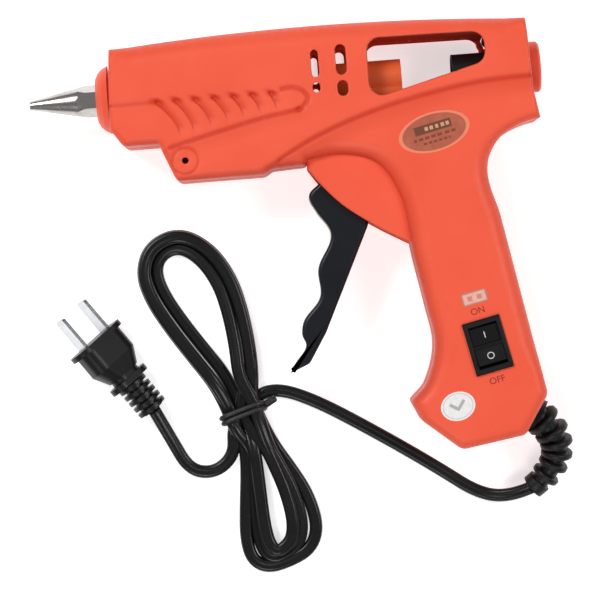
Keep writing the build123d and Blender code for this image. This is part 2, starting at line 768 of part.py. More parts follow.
def smooth_loop(points, outset):
    """A closed outline in short runs along a smooth line, moved outwards by outset."""
    line = Spline(*points, periodic=True)
    border = []
    for number in range(hank_steps):
        place = number / hank_steps
        outwards = (line % place).cross(Vector(0, 0, 1))
        border.append((line @ place) + outwards * outset)
    return make_face(Polyline(*border, close=True))


def make_hank():
    """The folded turns: a long open loop above the tie and a fuller one below."""
    middle_of_turns = [
        (-25, -122), (-23.4, -110), (-24.6, -97), (-27.6, -82), (-34, -67), (-46, -58),
        (-55.6, -63), (-57.2, -73), (-51, -88), (-40, -104), (-30.4, -118),
    ]
    open_middle = [
        (-31, -104.5), (-30.2, -98), (-32.7, -84), (-38.3, -70.6), (-46, -63.6),
        (-51.5, -66.5), (-51.8, -72.5), (-46.4, -85), (-36.5, -99.5),
    ]
    upper = smooth_loop(middle_of_turns, hank_width / 2) - smooth_loop(open_middle, 0)
    lower_edge = Spline(
        (-31, -130), (-28.4, -142), (-29.8, -162), (-29.6, -180), (-22, -191.6), (-10, -188.6),
        (0.8, -182), (1.2, -170), (-7, -148), (-18, -130),
    )
    slit = Polyline((-11.4, -152), (-5, -166), (-4.8, -176.5), (-8.6, -167), close=True)
    lower = make_face(lower_edge + Line((-18, -130), (-31, -130))) - make_face(slit)
    waist = Pos(tie_at.X, tie_at.Y) * Rot(0, 0, tie_turn) * Rectangle(2 * tie_inner_half, hank_waist)
    turns = extrude(upper, hank_height) + extrude(lower, hank_height) + extrude(waist, hank_height)
    squeeze = at_tie(Box(60, tie_long + 2 * gap, 2 * hank_height))
    squeeze -= at_tie(Box(2 * tie_inner_half - gap, tie_long + 1, hank_height - 2 * tie_thick - gap))
    return turns - squeeze


def make_tie():
    """A twisted wire tie: its band round the hank and its two twisted ends."""
    twist = Pos(tie_at.X, tie_at.Y, 0) * Rot(0, 0, tie_turn)
    ends = twist * Pos(tie_inner_half + tie_thick + 2.2, 0, hank_height - 3) * Box(4.8, 2.0, 2.0)
    return tie_ring() + ends


parts["cord_lead"] = cord_tube("cord_lead", lead_points)
parts["cord_tail"] = cord_tube("cord_tail", tail_points)
parts["cord_hank"] = make_hank()
parts["cord_tie"] = make_tie()

# ---- plug ----
plug_roll = 31.0             # degrees; the plug lies on an edge of its flange
blade_spacing = 12.7
blade = (1.5, 6.35)
blade_length = 15.0
blade_root = 5.0
flange = (26.0, 13.0)
flange_thick = 2.2
plug_axis = (plug_front - plug_tail).normalized()
plug_length = (plug_front - plug_tail).length
plug_place = Plane(plug_front, x_dir=plug_axis.cross(Vector(0, 0, 1)), z_dir=plug_axis) * Rot(0, 0, plug_roll)


def plug_step(width, depth, corner, z0, z1):
    return Pos(0, 0, z0) * extrude(RectangleRounded(width, depth, corner), z1 - z0)


def make_blades():
    blades = []
    for side in (-1, 1):
        middle = (blade_length - blade_root) / 2
        one = Pos(side * blade_spacing / 2, 0, middle) * Box(*blade, blade_length + blade_root)
        blades.append(fillet(one.edges().filter_by(Axis.X).group_by(Axis.Z)[-1], 1.6))
    return blades


def make_plug(blades):
    body = plug_step(*flange, 6.0, -flange_thick, 0)
    body += plug_step(21.6, 12.0, 5.0, -11.5, -flange_thick)
    narrow = RectangleRounded(14.6, 9.4, 4.4)
    wide = Pos(0, 0, 6.5) * RectangleRounded(21.6, 12.0, 5.0)
    body += Pos(0, 0, -18) * loft([narrow, wide])
    body += plug_step(13.0, 9.0, 4.4, -22.5, -18)
    body += plug_step(18.6, 10.0, 4.9, -22.4, -20.0)
    low = (Align.CENTER, Align.CENTER, Align.MIN)
    body += Pos(0, 0, -plug_length) * Cylinder(4.4, plug_length - 20, align=low)
    for number in range(5):
        body += Pos(0, 0, -plug_length + 0.6 + 2.9 * number) * Cylinder(6.3, 1.6, align=low)
    for one in blades:
        body -= one
    return body


blades = make_blades()
parts["plug_body"] = plug_place * make_plug(blades)
parts["plug_blades"] = Compound(children=[plug_place * one for one in blades])

os.makedirs("parts", exist_ok=True)
for name, shape in parts.items():
    export_step(shape, f"parts/{name}.step")
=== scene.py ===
import math

import bpy
import numpy as np
from mathutils import Matrix, Vector
from mathutils.geometry import delaunay_2d_cdt


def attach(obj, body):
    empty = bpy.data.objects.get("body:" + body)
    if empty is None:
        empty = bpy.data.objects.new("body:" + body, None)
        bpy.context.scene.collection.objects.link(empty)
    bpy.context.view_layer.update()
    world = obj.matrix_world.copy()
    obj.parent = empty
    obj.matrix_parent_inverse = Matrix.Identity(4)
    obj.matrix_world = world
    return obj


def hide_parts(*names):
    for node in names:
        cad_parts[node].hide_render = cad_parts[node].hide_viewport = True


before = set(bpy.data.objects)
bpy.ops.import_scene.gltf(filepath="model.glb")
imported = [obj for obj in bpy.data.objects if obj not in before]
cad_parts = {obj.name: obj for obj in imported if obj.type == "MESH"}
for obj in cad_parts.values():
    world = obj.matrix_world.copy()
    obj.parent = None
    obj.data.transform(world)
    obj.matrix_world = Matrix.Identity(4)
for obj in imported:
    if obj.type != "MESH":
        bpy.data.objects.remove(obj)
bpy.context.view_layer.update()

# A hot-melt glue gun on its side, with its flat twin cord folded, tied and laid beside it.
# Places are written in millimetres and are turned to metres when a mesh is made.
# X runs back along the barrel, Y points to the barrel's top and Z is up from the table.
MM = 0.001
MIDDLE = 19.0                # height of the parting plane between the shells
TOP = 38.0                   # flat side of the upper shell


# ---------------------------------------------------------------- finishes

MIX_A, MIX_B, MIX_RESULT = 6, 7, 2      # colour sockets of the mix node


class Shade:
    """A number that varies over a surface, written with ordinary operators."""

    def __init__(self, finish, socket):
        self.finish = finish
        self.socket = socket

    def math(self, operation, first, second):
        node = self.finish.node("Math", {0: first, 1: second}, operation=operation)
        return Shade(self.finish, node.outputs[0])

    def __add__(self, other):
        return self.math("ADD", self, other)

    __radd__ = __add__

    def __sub__(self, other):
        return self.math("SUBTRACT", self, other)

    def __mul__(self, other):
        return self.math("MULTIPLY", self, other)

    __rmul__ = __mul__

    def __truediv__(self, other):
        return self.math("DIVIDE", self, other)

    def __abs__(self):
        return self.math("ABSOLUTE", self, 0)

    def below(self, limit):
        return self.math("LESS_THAN", self, limit)

    def most(self, other):
        return self.math("MAXIMUM", self, other)

    def wave(self):
        return self.math("SINE", self, 0)

    def ramp(self, low, high):
        """From 0 at low to 1 at high, and level beyond them."""
        node = self.finish.node("MapRange", {"Value": self, "From Min": low, "From Max": high}, clamp=True)
        return Shade(self.finish, node.outputs[0])


class Finish:
    """A material: the uniform numbers sit on the shader, and what varies is linked to it."""

    def __init__(self, name, **numbers):
        self.material = bpy.data.materials.new(name)
        self.material.use_nodes = True
        self.tree = self.material.node_tree
        self.shader = self.tree.nodes["Principled BSDF"]
        for key, value in numbers.items():
            self.shader.inputs[key.replace("_", " ")].default_value = value
        self.coordinates = self.tree.nodes.new("ShaderNodeTexCoord").outputs["Object"]

    def node(self, kind, values, **settings):
        made = self.tree.nodes.new("ShaderNode" + kind)
        for key, value in settings.items():
            setattr(made, key, value)
        for key, value in values.items():
            if isinstance(value, Shade):
                self.tree.links.new(value.socket, made.inputs[key])
            elif isinstance(value, bpy.types.NodeSocket):
                self.tree.links.new(value, made.inputs[key])
            else:
                made.inputs[key].default_value = value
        return made

    def noise(self, size_mm, detail=2.0, roughness=0.5, stretch=(1, 1, 1)):
        """Cloudy variation from 0 to 1 whose blotches are about size_mm across."""
        place = self.node("Mapping", {"Vector": self.coordinates, "Scale": stretch}).outputs[0]
        scale = 1 / (size_mm * MM)
        cloud = self.node(
            "TexNoise", {"Vector": place, "Scale": scale, "Detail": detail, "Roughness": roughness}
        )
        return Shade(self, cloud.outputs[0])

    def axes(self, centre=(0, 0, 0), turn=0.0):
        """X, Y and Z in millimetres from a centre, turned about Z in degrees."""
        middle = [value * MM for value in centre]
        away = self.node("VectorMath", {0: self.coordinates, 1: middle}, operation="SUBTRACT").outputs[0]
        turned = self.node(
            "VectorRotate", {"Vector": away, "Angle": -math.radians(turn)}, rotation_type="Z_AXIS"
        )
        split = self.node("SeparateXYZ", {0: turned.outputs[0]})
        return [Shade(self, socket) * (1 / MM) for socket in split.outputs]

    def blend(self, factor, first, second):
        """One colour over another by a mask."""
        mix = self.node("Mix", {"Factor": factor}, data_type="RGBA")
        for socket, colour in ((mix.inputs[MIX_A], first), (mix.inputs[MIX_B], second)):
            if isinstance(colour, bpy.types.NodeSocket):
                self.tree.links.new(colour, socket)
            else:
                socket.default_value = (*colour, 1)
        return mix.outputs[MIX_RESULT]

    def set(self, key, value):
        socket = value.socket if isinstance(value, Shade) else value
        self.tree.links.new(socket, self.shader.inputs[key])

    def relief(self, height, depth_mm, strength=0.6):
        """Fine relief too small to be worth geometry."""
        bump = self.node("Bump", {"Height": height, "Distance": depth_mm * MM, "Strength": strength})
        self.set("Normal", bump.outputs[0])


def moulded_plastic(
    name, colour, shade, roughness, grain_mm=0.5, grain_depth=0.03, coat=0.0, sheen=0.5, deep=None
):
    """Injection-moulded plastic: fine spark-eroded grain, slight clouding and faint handling marks.

    Painted shade: the colour deep is blended in wherever the mesh marks a groove or a turned-down edge.
    """
    finish = Finish(name, Coat_Weight=coat, Coat_Roughness=0.25, Specular_IOR_Level=sheen)
    cloud = finish.noise(28, 3)
    grain = finish.noise(grain_mm, 2, 0.6)
    wear = finish.noise(6, 4, 0.6)
    surface = finish.blend(cloud.ramp(0.3, 0.75), colour, shade)
    # painted shade: grooves and turned-down edges are darkened towards deep by the per-point weight kept on
    # the mesh
    if deep:
        painted_shade = finish.node("Attribute", {}, attribute_name="painted_shade")
        surface = finish.blend(Shade(finish, painted_shade.outputs["Fac"]), surface, deep)
    finish.set("Base Color", surface)
    finish.set("Roughness", roughness + (grain - 0.5) * 0.10 + (wear - 0.5) * 0.12)
    finish.relief(grain, grain_depth)
    return finish


def metal(name, colour, stain, roughness, stretch=(1, 1, 1), line_mm=0.35, depth=0.012):
    """Worked metal: fine tool lines and a little dulling."""
    finish = Finish(name, Metallic=1.0)
    lines = finish.noise(line_mm, 2, 0.7, stretch)
    dulling = finish.noise(7, 4, 0.6)
    finish.set("Base Color", finish.blend(dulling.ramp(0.42, 0.8), colour, stain))
    finish.set("Roughness", roughness + (lines - 0.5) * 0.18 + (dulling - 0.5) * 0.2)
    finish.relief(lines, depth, 0.5)
    return finish


CORAL = (0.905, 0.118, 0.058)
CORAL_SHADE = (0.86, 0.098, 0.046)
# painted shade colour for the grooves and turned-down edges of the shells
CORAL_PAINTED_SHADE = (0.58, 0.034, 0.010)

shell_plastic = moulded_plastic(
    "shell_coral_plastic", CORAL, CORAL_SHADE, 0.44, 0.55, 0.022, sheen=0.25, deep=CORAL_PAINTED_SHADE
)
slide_plastic = moulded_plastic(
    "slide_orange_plastic", (0.88, 0.155, 0.045), (0.80, 0.12, 0.035), 0.40, 0.7, 0.015, sheen=0.3
)
black_plastic = moulded_plastic(
    "black_plastic", (0.010, 0.010, 0.011), (0.006, 0.006, 0.007), 0.42, 0.5, 0.02, sheen=0.25
)
trigger_plastic = moulded_plastic(
    "trigger_black_plastic", (0.010, 0.011, 0.015), (0.006, 0.007, 0.010), 0.34, 0.6, 0.02, sheen=0.3
)
switch_plastic = moulded_plastic(
    "switch_gloss_plastic", (0.006, 0.006, 0.007), (0.004, 0.004, 0.005), 0.22, 0.8, 0.008, 0.15, 0.3
)
boot_rubber = moulded_plastic(
    "boot_rubber", (0.007, 0.007, 0.008), (0.005, 0.005, 0.006), 0.46, 0.4, 0.025, sheen=0.3
)
cord_vinyl = moulded_plastic(
    "cord_vinyl", (0.006, 0.006, 0.007), (0.004, 0.004, 0.005), 0.30, 0.9, 0.008, sheen=0.35
)
plug_vinyl = moulded_plastic(
    "plug_vinyl", (0.007, 0.007, 0.009), (0.005, 0.005, 0.006), 0.36, 0.6, 0.012, sheen=0.3
)
tie_vinyl = moulded_plastic("tie_vinyl", (0.01, 0.01, 0.01), (0.02, 0.02, 0.02), 0.45, 0.5, 0.02)
silicone = moulded_plastic("silicone_red", (0.42, 0.035, 0.02), (0.36, 0.03, 0.018), 0.48, 0.8, 0.015)
ceramic = moulded_plastic("fired_ceramic", (0.62, 0.58, 0.50), (0.55, 0.50, 0.42), 0.65, 0.3, 0.02)
amber_film = moulded_plastic("amber_film", (0.45, 0.16, 0.015), (0.38, 0.12, 0.01), 0.22, 1.5, 0.006)
fibre_board = moulded_plastic("fibre_board", (0.48, 0.37, 0.22), (0.36, 0.26, 0.15), 0.75, 0.25, 0.05)
wire_blue = moulded_plastic("wire_blue_vinyl", (0.02, 0.08, 0.35), (0.015, 0.06, 0.28), 0.35, 0.5, 0.01)
wire_brown = moulded_plastic("wire_brown_vinyl", (0.12, 0.045, 0.02), (0.09, 0.03, 0.015), 0.35, 0.5, 0.01)
white_print = moulded_plastic("white_print", (0.75, 0.75, 0.74), (0.68, 0.68, 0.67), 0.4, 0.5, 0.004)
red_print = moulded_plastic("dark_red_print", (0.30, 0.02, 0.012), (0.24, 0.015, 0.01), 0.42, 0.5, 0.004)

nozzle_metal = metal("nozzle_turned_metal", (0.50, 0.49, 0.47), (0.34, 0.31, 0.28), 0.24, (6, 0.4, 0.4))
cast_alloy = metal("cast_alloy", (0.58, 0.58, 0.59), (0.46, 0.46, 0.46), 0.48, (1, 1, 1), 0.6, 0.05)
pin_steel = metal("pin_steel", (0.60, 0.60, 0.61), (0.46, 0.45, 0.44), 0.26, (1, 1, 5))
screw_steel = metal("screw_steel", (0.20, 0.20, 0.21), (0.12, 0.12, 0.12), 0.34, (1, 1, 3))
spring_steel = metal("spring_steel", (0.55, 0.56, 0.58), (0.40, 0.40, 0.42), 0.22, (1, 1, 1))
brass = metal("brass_strip", (0.68, 0.46, 0.16), (0.50, 0.32, 0.12), 0.28, (1, 5, 1))
blade_metal = metal("plated_blade", (0.56, 0.57, 0.59), (0.42, 0.42, 0.43), 0.22, (3, 3, 1))


def oval_label_print():
    """A coral film label: a pale rim, a deeper field and plain bars."""
    finish = Finish("oval_label_print", Roughness=0.32, Coat_Weight=0.3)
    half_long, half_wide = 14.2, 7.7
    x, y, _ = finish.axes((57.4, -23.5, 0), 12.5)
    out = (x * x) / half_long ** 2 + (y * y) / half_wide ** 2
    cloud = finish.noise(3, 3)
    field = finish.blend(cloud.ramp(0.3, 0.7), (0.42, 0.10, 0.055), (0.50, 0.13, 0.07))
    rim = finish.blend(out.below(0.80), (0.88, 0.24, 0.14), field)
    bar = abs(y - 1.9).below(1.7) * abs(x).below(7.4)
    dashes = ((x * 2.4).wave() + 0.35 * (x * 5.3).wave()).below(0.55)
    stripe = abs(y + 1.5).below(0.55) * abs(x).below(8.6) * dashes
    lower = abs(y + 3.6).below(0.45) * abs(x).below(5.6) * ((x * 3.1).wave()).below(0.5)
    mark = finish.blend(bar, rim, (0.17, 0.055, 0.03))
    gaps = ((x * 2.9).wave() + 0.4 * (x * 6.7).wave()).below(0.4)
    pale = abs(y - 1.9).below(0.75) * abs(x - 1.6).below(4.9) * gaps
    mark = finish.blend(pale, mark, (0.66, 0.34, 0.20))
    mark = finish.blend(stripe.most(lower), mark, (0.24, 0.055, 0.03))
    finish.set("Base Color", mark)
    finish.relief(cloud, 0.01)
    return finish


def panel_label_print():
    """A small pale film with a darker outline and two plain marks."""
    finish = Finish("panel_label_print", Roughness=0.34, Coat_Weight=0.3)
    x, y, _ = finish.axes((68.0, -88.9, 0), 12)
    cloud = finish.noise(2, 3)
    pale = finish.blend(cloud.ramp(0.35, 0.7), (0.84, 0.48, 0.40), (0.78, 0.40, 0.33))
    edge = abs(x).ramp(4.3, 4.6).most(abs(y).ramp(1.85, 2.15))
    print_ = abs(abs(x) - 1.9).below(0.95) * abs(y).below(0.9)
    inked = finish.blend(edge, pale, (0.62, 0.19, 0.13))
    finish.set("Base Color", finish.blend(print_, inked, (0.66, 0.25, 0.19)))
    finish.relief(cloud, 0.01)
    return finish


def round_sticker_print():
    """A white paper sticker with a plain grey tick of two strokes."""
    finish = Finish("round_sticker_print", Roughness=0.45)
    x, y, _ = finish.axes((58.4, -130.5, 0), 14)
    cloud = finish.noise(1.6, 3)
    paper = finish.blend(cloud.ramp(0.3, 0.7), (0.90, 0.88, 0.86), (0.80, 0.78, 0.77))
    half_wide, half_tall = 6.8, 5.6
    out = (x * x) / half_wide ** 2 + (y * y) / half_tall ** 2
    ring = abs(out - 0.74).below(0.05)
    short = abs(x + y + 1.4).below(0.9) * abs(x - y + 2.0).below(2.4)
    long = abs(y - x * 0.9 + 1.0).below(0.8) * abs(x + y - 1.2).below(3.4)
    marked = finish.blend(ring, paper, (0.60, 0.60, 0.60))
    finish.set("Base Color", finish.blend(short.most(long), marked, (0.42, 0.43, 0.44)))
    finish.relief(cloud, 0.02)
    return finish


def table_paper():
    """A pale sheet with a little light of its own, so that it stays white between the lamps."""
    finish = Finish(
        "pale_table", Roughness=0.75, Specular_IOR_Level=0.2, Emission_Color=(1, 1, 1, 1),
        Emission_Strength=0.6,
    )
    cloud = finish.noise(400, 2)
    finish.set("Base Color", finish.blend(cloud, (0.93, 0.93, 0.93), (0.92, 0.92, 0.92)))
    return finish


# ---------------------------------------------------------------- camera, table and light

def make_camera():
    camera = bpy.data.objects.new("camera", bpy.data.cameras.new("camera"))
    camera.data.lens = 170
    camera.data.sensor_width = 36
    camera.data.clip_end = 20
    camera.location = (0.0004, -0.0846, 1.138)
    camera.rotation_euler = (0, 0, math.radians(-4.45))
    bpy.context.collection.objects.link(camera)
    bpy.context.scene.camera = camera


def make_light(name, place, aim, size, power):
    lamp = bpy.data.lights.new(name, "AREA")
    lamp.shape = "RECTANGLE"
    lamp.size, lamp.size_y = size
    lamp.energy = power
    obj = bpy.data.objects.new(name, lamp)
    obj.location = place
    obj.rotation_euler = (Vector(aim) - Vector(place)).to_track_quat("-Z", "Y").to_euler()
    bpy.context.collection.objects.link(obj)


def make_stage():
    """A wide table just under the gun, a dim white room and three soft lamps off the mirror direction."""
    half = 3.0
    below_gun = -0.0002
    corners = [(-half, -half), (half, -half), (half, half), (-half, half)]
    mesh = bpy.data.meshes.new("table")
    mesh.from_pydata([(x, y, below_gun) for x, y in corners], [], [(0, 1, 2, 3)])
    table = bpy.data.objects.new("table", mesh)
    table.data.materials.append(table_paper().material)
    bpy.context.collection.objects.link(table)
    world = bpy.data.worlds.new("studio")
    world.use_nodes = True
    background = world.node_tree.nodes["Background"].inputs
    background["Color"].default_value = (1, 1, 1, 1)
    background["Strength"].default_value = 0.22
    bpy.context.scene.world = world
    bpy.context.scene.view_settings.view_transform = "Standard"
    centre = (0.02, -0.08, 0.02)
    make_light("key", (-0.75, 0.75, 1.35), centre, (0.55, 0.55), 15)
    make_light("right", (1.05, 0.15, 1.25), centre, (0.5, 0.5), 8)
    make_light("low", (-0.25, -1.1, 1.25), centre, (0.5, 0.5), 7)


# ---------------------------------------------------------------- mesh helpers

def in_metres(points):
    return [Vector(point) * MM for point in points]


def add_piece(name, points, faces, finish, body, stands_for=(), painted_shade=None):
    """A mesh piece given in millimetres, riding on a body."""
    mesh = bpy.data.meshes.new(name)
    mesh.from_pydata(in_metres(points), [], faces)
    # an optional per-point weight of painted shade, kept as a mesh attribute for the material
    if painted_shade is not None:
        mesh.attributes.new("painted_shade", "FLOAT", "POINT").data.foreach_set("value", painted_shade)
    mesh.validate()
    mesh.materials.append(finish.material)
    mesh.polygons.foreach_set("use_smooth", [True] * len(mesh.polygons))
    return keep_mesh(name, mesh, body, stands_for)


def keep_mesh(name, mesh, body, stands_for=()):
    """A ready mesh as a piece on a body."""
    obj = bpy.data.objects.new(name, mesh)
    bpy.context.collection.objects.link(obj)
    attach(obj, body)
    if stands_for:
        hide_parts(*stands_for)
    return obj


def grown_mesh(holder):
    """What an object looks like once its modifiers or its curve are worked out."""
    graph = bpy.context.evaluated_depsgraph_get()
    return bpy.data.meshes.new_from_object(holder.evaluated_get(graph))


def spline_points(points):
    """Points along the smooth line that has these control points."""
    curve = bpy.data.curves.new("line", "CURVE")
    curve.dimensions = "3D"
    curve.resolution_u = 12
    spline = curve.splines.new("NURBS")
    spline.points.add(len(points) - 1)
    for knot, point in zip(spline.points, in_metres(points)):
        knot.co = (*point, 1)
    spline.order_u = 3
    spline.use_endpoint_u = True
    holder = bpy.data.objects.new("line", curve)
    bpy.context.collection.objects.link(holder)
    mesh = grown_mesh(holder)
    line = [vertex.co / MM for vertex in mesh.vertices]
    bpy.data.objects.remove(holder)
    bpy.data.meshes.remove(mesh)
    return line


def evenly(line, step):
    """The same line in even steps."""
    kept = [line[0].copy()]
    left = step
    for start, end in zip(line, line[1:]):
        run = (end - start).length
        while run > 1e-9 and left <= run:
            kept.append(start.lerp(end, left / run))
            left += step
        left -= run
    if (kept[-1] - line[-1]).length > step * 0.4:
        kept.append(line[-1].copy())
    return kept


def line_length(line):
    return sum((b - a).length for a, b in zip(line, line[1:]))


def swept(line, section, up=Vector((0, 0, 1))):
    """A tube along a line, closed at both ends. Its section's first axis lies level.

    The section is a list of places, or a function that gives one for each place on the line.
    """
    sections = [section(index) if callable(section) else section for index in range(len(line))]
    count = len(sections[0])
    points = []
    faces = []
    for index, here in enumerate(line):
        ahead = line[min(index + 1, len(line) - 1)] - line[max(index - 1, 0)]
        ahead.normalize()
        across = ahead.cross(up).normalized()
        over = across.cross(ahead)
        points += [here + across * wide + over * tall for wide, tall in sections[index]]
    for ring in range(len(line) - 1):
        for side in range(count):
            a = ring * count + side
            b = ring * count + (side + 1) % count
            faces.append((a, b, b + count, a + count))
    faces.append(tuple(reversed(range(count))))
    faces.append(tuple(range(len(points) - count, len(points))))
    return points, faces


def circle(radius, count=16):
    turns = [math.tau * step / count for step in range(count)]
    return [(radius * math.cos(turn), radius * math.sin(turn)) for turn in turns]


def joined(*parts):
    """Several point-and-face lists as one."""
    points = []
    faces = []
    for some_points, some_faces in parts:
        shift = len(points)
        points += list(some_points)
        faces += [tuple(index + shift for index in face) for face in some_faces]
    return points, faces


class Growth:
    """A geometry-node tree with named sizes, run once on seed points and kept as a plain mesh."""

    def __init__(self, name, **sizes):
        self.name = name
        self.sizes = sizes
        self.tree = bpy.data.node_groups.new(name, "GeometryNodeTree")
        face = self.tree.interface
        face.new_socket("Seeds", in_out="INPUT", socket_type="NodeSocketGeometry")
        face.new_socket("Piece", in_out="OUTPUT", socket_type="NodeSocketGeometry")
        self.keys = {}
        for key in sizes:
            socket = face.new_socket(key, in_out="INPUT", socket_type="NodeSocketFloat")
            self.keys[key] = socket.identifier
        self.inputs = self.tree.nodes.new("NodeGroupInput").outputs

    def flow(self, kind, values, **settings):
        """Add a geometry node and give back its first output."""
        made = self.tree.nodes.new(kind if "Node" in kind else "GeometryNode" + kind)
        for key, value in settings.items():
            setattr(made, key, value)
        for key, value in values.items():
            for one in value if isinstance(value, list) else [value]:
                if isinstance(one, bpy.types.NodeSocket):
                    self.tree.links.new(one, made.inputs[key])
                else:
                    made.inputs[key].default_value = one
        return made.outputs[0]

    def named(self, key, kind="FLOAT"):
        return self.flow("InputNamedAttribute", {"Name": key}, data_type=kind)

    def grown(self, shape, finish, seeds=((0, 0, 0),), marks=None):
        """Run the tree on the seeds, in millimetres, and give back the mesh it makes."""
        real = self.flow("RealizeInstances", {0: shape})
        coated = self.flow("SetMaterial", {"Geometry": real, "Material": finish.material})
        ending = self.tree.nodes.new("NodeGroupOutput")
        self.tree.links.new(coated, ending.inputs[0])
        mesh = bpy.data.meshes.new(self.name)
        mesh.from_pydata(in_metres(seeds), [], [])
        for key, values in (marks or {}).items():
            if isinstance(values[0], Vector):
                flat = [part for value in values for part in value]
                mesh.attributes.new(key, "FLOAT_VECTOR", "POINT").data.foreach_set("vector", flat)
            else:
                mesh.attributes.new(key, "FLOAT", "POINT").data.foreach_set("value", values)
        holder = bpy.data.objects.new(self.name, mesh)
        bpy.context.collection.objects.link(holder)
        modifier = holder.modifiers.new("grow", "NODES")
        modifier.node_group = self.tree
        for key, value in self.sizes.items():
            modifier[self.keys[key]] = value
        made = grown_mesh(holder)
        bpy.data.objects.remove(holder)
        bpy.data.meshes.remove(mesh)
        return made


# ---------------------------------------------------------------- the cord

CORD_WIDE = 5.2
CORD_THICK = 3.2
BOOT_END = (87.0, -166.0, 8.6)
CORD_LIES = 2.1              # height of the middle of a run that lies on the table
LEAD = [
    BOOT_END, (78.6, -169.4, 5.4), (66, -167.6, CORD_LIES), (50, -155.6, CORD_LIES), (28, -140.6, CORD_LIES),
    (4, -125.4, CORD_LIES), (-12, -118.8, CORD_LIES), (-22, -122.6, CORD_LIES),
]
TAIL = [
    (-30.4, -134, CORD_LIES), (-30.6, -144.5, CORD_LIES), (-38.8, -151.1, CORD_LIES),
    (-49.1, -149.1, CORD_LIES), (-55.2, -136.3, 3.6), (-61.2, -123.6, 6.8),
]
TIE = Vector((-25.7, -128, 0))
TIE_TURN = math.radians(16.9)
ALONG_HANK = Vector((-math.sin(TIE_TURN), math.cos(TIE_TURN), 0))
ACROSS_HANK = Vector((math.cos(TIE_TURN), math.sin(TIE_TURN), 0))

UPPER_LOOP = [
    (-23.6, -113), (-24.0, -101), (-25.8, -87), (-29.2, -74), (-36.4, -62.6), (-46.4, -56.6),
    (-56.2, -60.6), (-59.4, -69.4), (-56.2, -79.8), (-49.4, -91.4), (-41.6, -103), (-34.2, -113.6),
]
LOWER_LOOP = [
    (-25.9, -142), (-26.2, -152), (-27.6, -165), (-28.6, -178), (-26.8, -187.0), (-20.6, -190.6),
    (-11.2, -188.4), (-2.8, -184.2), (0.6, -175.6), (-2.4, -162.6), (-8.0, -152.2), (-14.6, -141.8),
]


def at_tie(along, across, height):
    place = TIE + ALONG_HANK * along + ACROSS_HANK * across
    return (place.x, place.y, height)


def loop_beside(loop, shift, heights):
    """A turn laid beside another: every point moves to its right by the shift.

    Its heights are those of its first, middle and last point.
    """
    start, middle, end = heights
    turn = []
    for index, (x, y) in enumerate(loop):
        before = loop[max(index - 1, 0)]
        after = loop[min(index + 1, len(loop) - 1)]
        ahead = Vector((after[0] - before[0], after[1] - before[1])).normalized()
        place = index / (len(loop) - 1)
        if place < 0.5:
            height = start + (middle - start) * 2 * place
        else:
            height = middle + (end - middle) * (2 * place - 1)
        turn.append((x + ahead.y * shift, y - ahead.x * shift, height))
    return turn


def inner_turn(loop, wide, long):
    """The same turn laid inside: narrower and shorter, still drawn in towards the tie."""
    top = loop[0][1]
    top_middle, lean = -20.2, 0.135
    turn = []
    for x, y in loop:
        middle = top_middle + (top - y) * lean
        turn.append((middle + (x - middle) * wide, top + (y - top) * long))
    return turn


def hank_turns():
    """Three turns: down the lower loop's left, up its right, through the tie and round the upper loop."""
    low, high, top = CORD_THICK / 2, CORD_THICK * 1.55, CORD_THICK * 2.55
    lower_turns = (LOWER_LOOP, inner_turn(LOWER_LOOP, 0.63, 0.93), inner_turn(LOWER_LOOP, 0.40, 0.87))
    lower_heights = ((low, low, low), (low, low, high), (high, high, high))
    upper_shifts = (2.8, -2.8, 2.3)
    upper_heights = ((high, low, high), (top, low, low), (high, high, top))
    right_pass = ((5.4, high), (5.2, top), (0.2, high))
    left_pass = ((-5.4, high), (-0.4, low), (-4.4, high))
    route = []
    for turn in range(3):
        route += loop_beside(lower_turns[turn], 0.0, lower_heights[turn])
        across, height = right_pass[turn]
        route += [at_tie(-5, across, height), at_tie(5, across, height)]
        route += loop_beside(UPPER_LOOP, upper_shifts[turn], upper_heights[turn])
        across, height = left_pass[turn]
        route += [at_tie(5, across, height), at_tie(-5, across, height)]
    return route


def twin_section():
    """A flat oval with a shallow valley along the middle of each face, between its two cores."""
    core = CORD_THICK / 2
    reach = CORD_WIDE / 2 - core
    turns = [math.radians(turn) for turn in range(-90, 91, 15)]
    right = [(reach + core * math.cos(turn), core * math.sin(turn)) for turn in turns]
    half_valley, brink = 0.35, core * 0.90
    bottom = brink - 0.05
    right += [(half_valley, brink), (0, bottom), (-half_valley, brink)]
    return right + [(-x, -y) for x, y in right]


def make_cord():
    """The whole cord as one piece, from the boot through the hank to the plug."""
    route = LEAD + [at_tie(-6, -5.4, CORD_THICK / 2)] + hank_turns() + TAIL
    line = evenly(spline_points(route), 1.6)
    points, faces = swept(line, twin_section())
    cord = add_piece(
        "mains_cord", points, faces, cord_vinyl, "gun", ["cord_lead", "cord_hank", "cord_tail"]
    )
    return cord, line


def squared(value):
    """A sine or cosine whose circle is pressed towards a square."""
    return math.copysign(abs(value) ** 0.55, value)


def make_tie():
    """Two turns of coated wire pulled tight round the hank, with its ends twisted together."""
    half_wide, half_tall = 8.9, 5.3
    middle = 5.4
    wire = 1.0
    around = 40
    parts = []
    for offset in (-1.1, 1.1):
        ring = []
        for step in range(around):
            angle = math.tau * step / around
            across = half_wide * squared(math.cos(angle))
            tall = (half_tall - wire) * squared(math.sin(angle))
            ring.append(Vector(at_tie(offset + 0.6 * math.sin(angle), across, middle + tall)))
        ring.append(ring[0].copy())
        parts.append(swept(ring, circle(wire, 10), ALONG_HANK))
    for phase in (0, math.pi):
        twist = []
        for step in range(26):
            reach = half_wide + 0.2 * step
            swing = 0.85 * min(1, step / 4)
            angle = step * 0.8 + phase
            along, height = swing * math.cos(angle) + 0.04 * step, middle + 1.2 + swing * math.sin(angle)
            twist.append(Vector(at_tie(along, reach, height)))
        parts.append(swept(twist, circle(0.8, 8), ALONG_HANK))
    points, faces = joined(*parts)
    return add_piece("hank_tie", points, faces, tie_vinyl, "gun", ["cord_tie"])


# ---------------------------------------------------------------- the shells

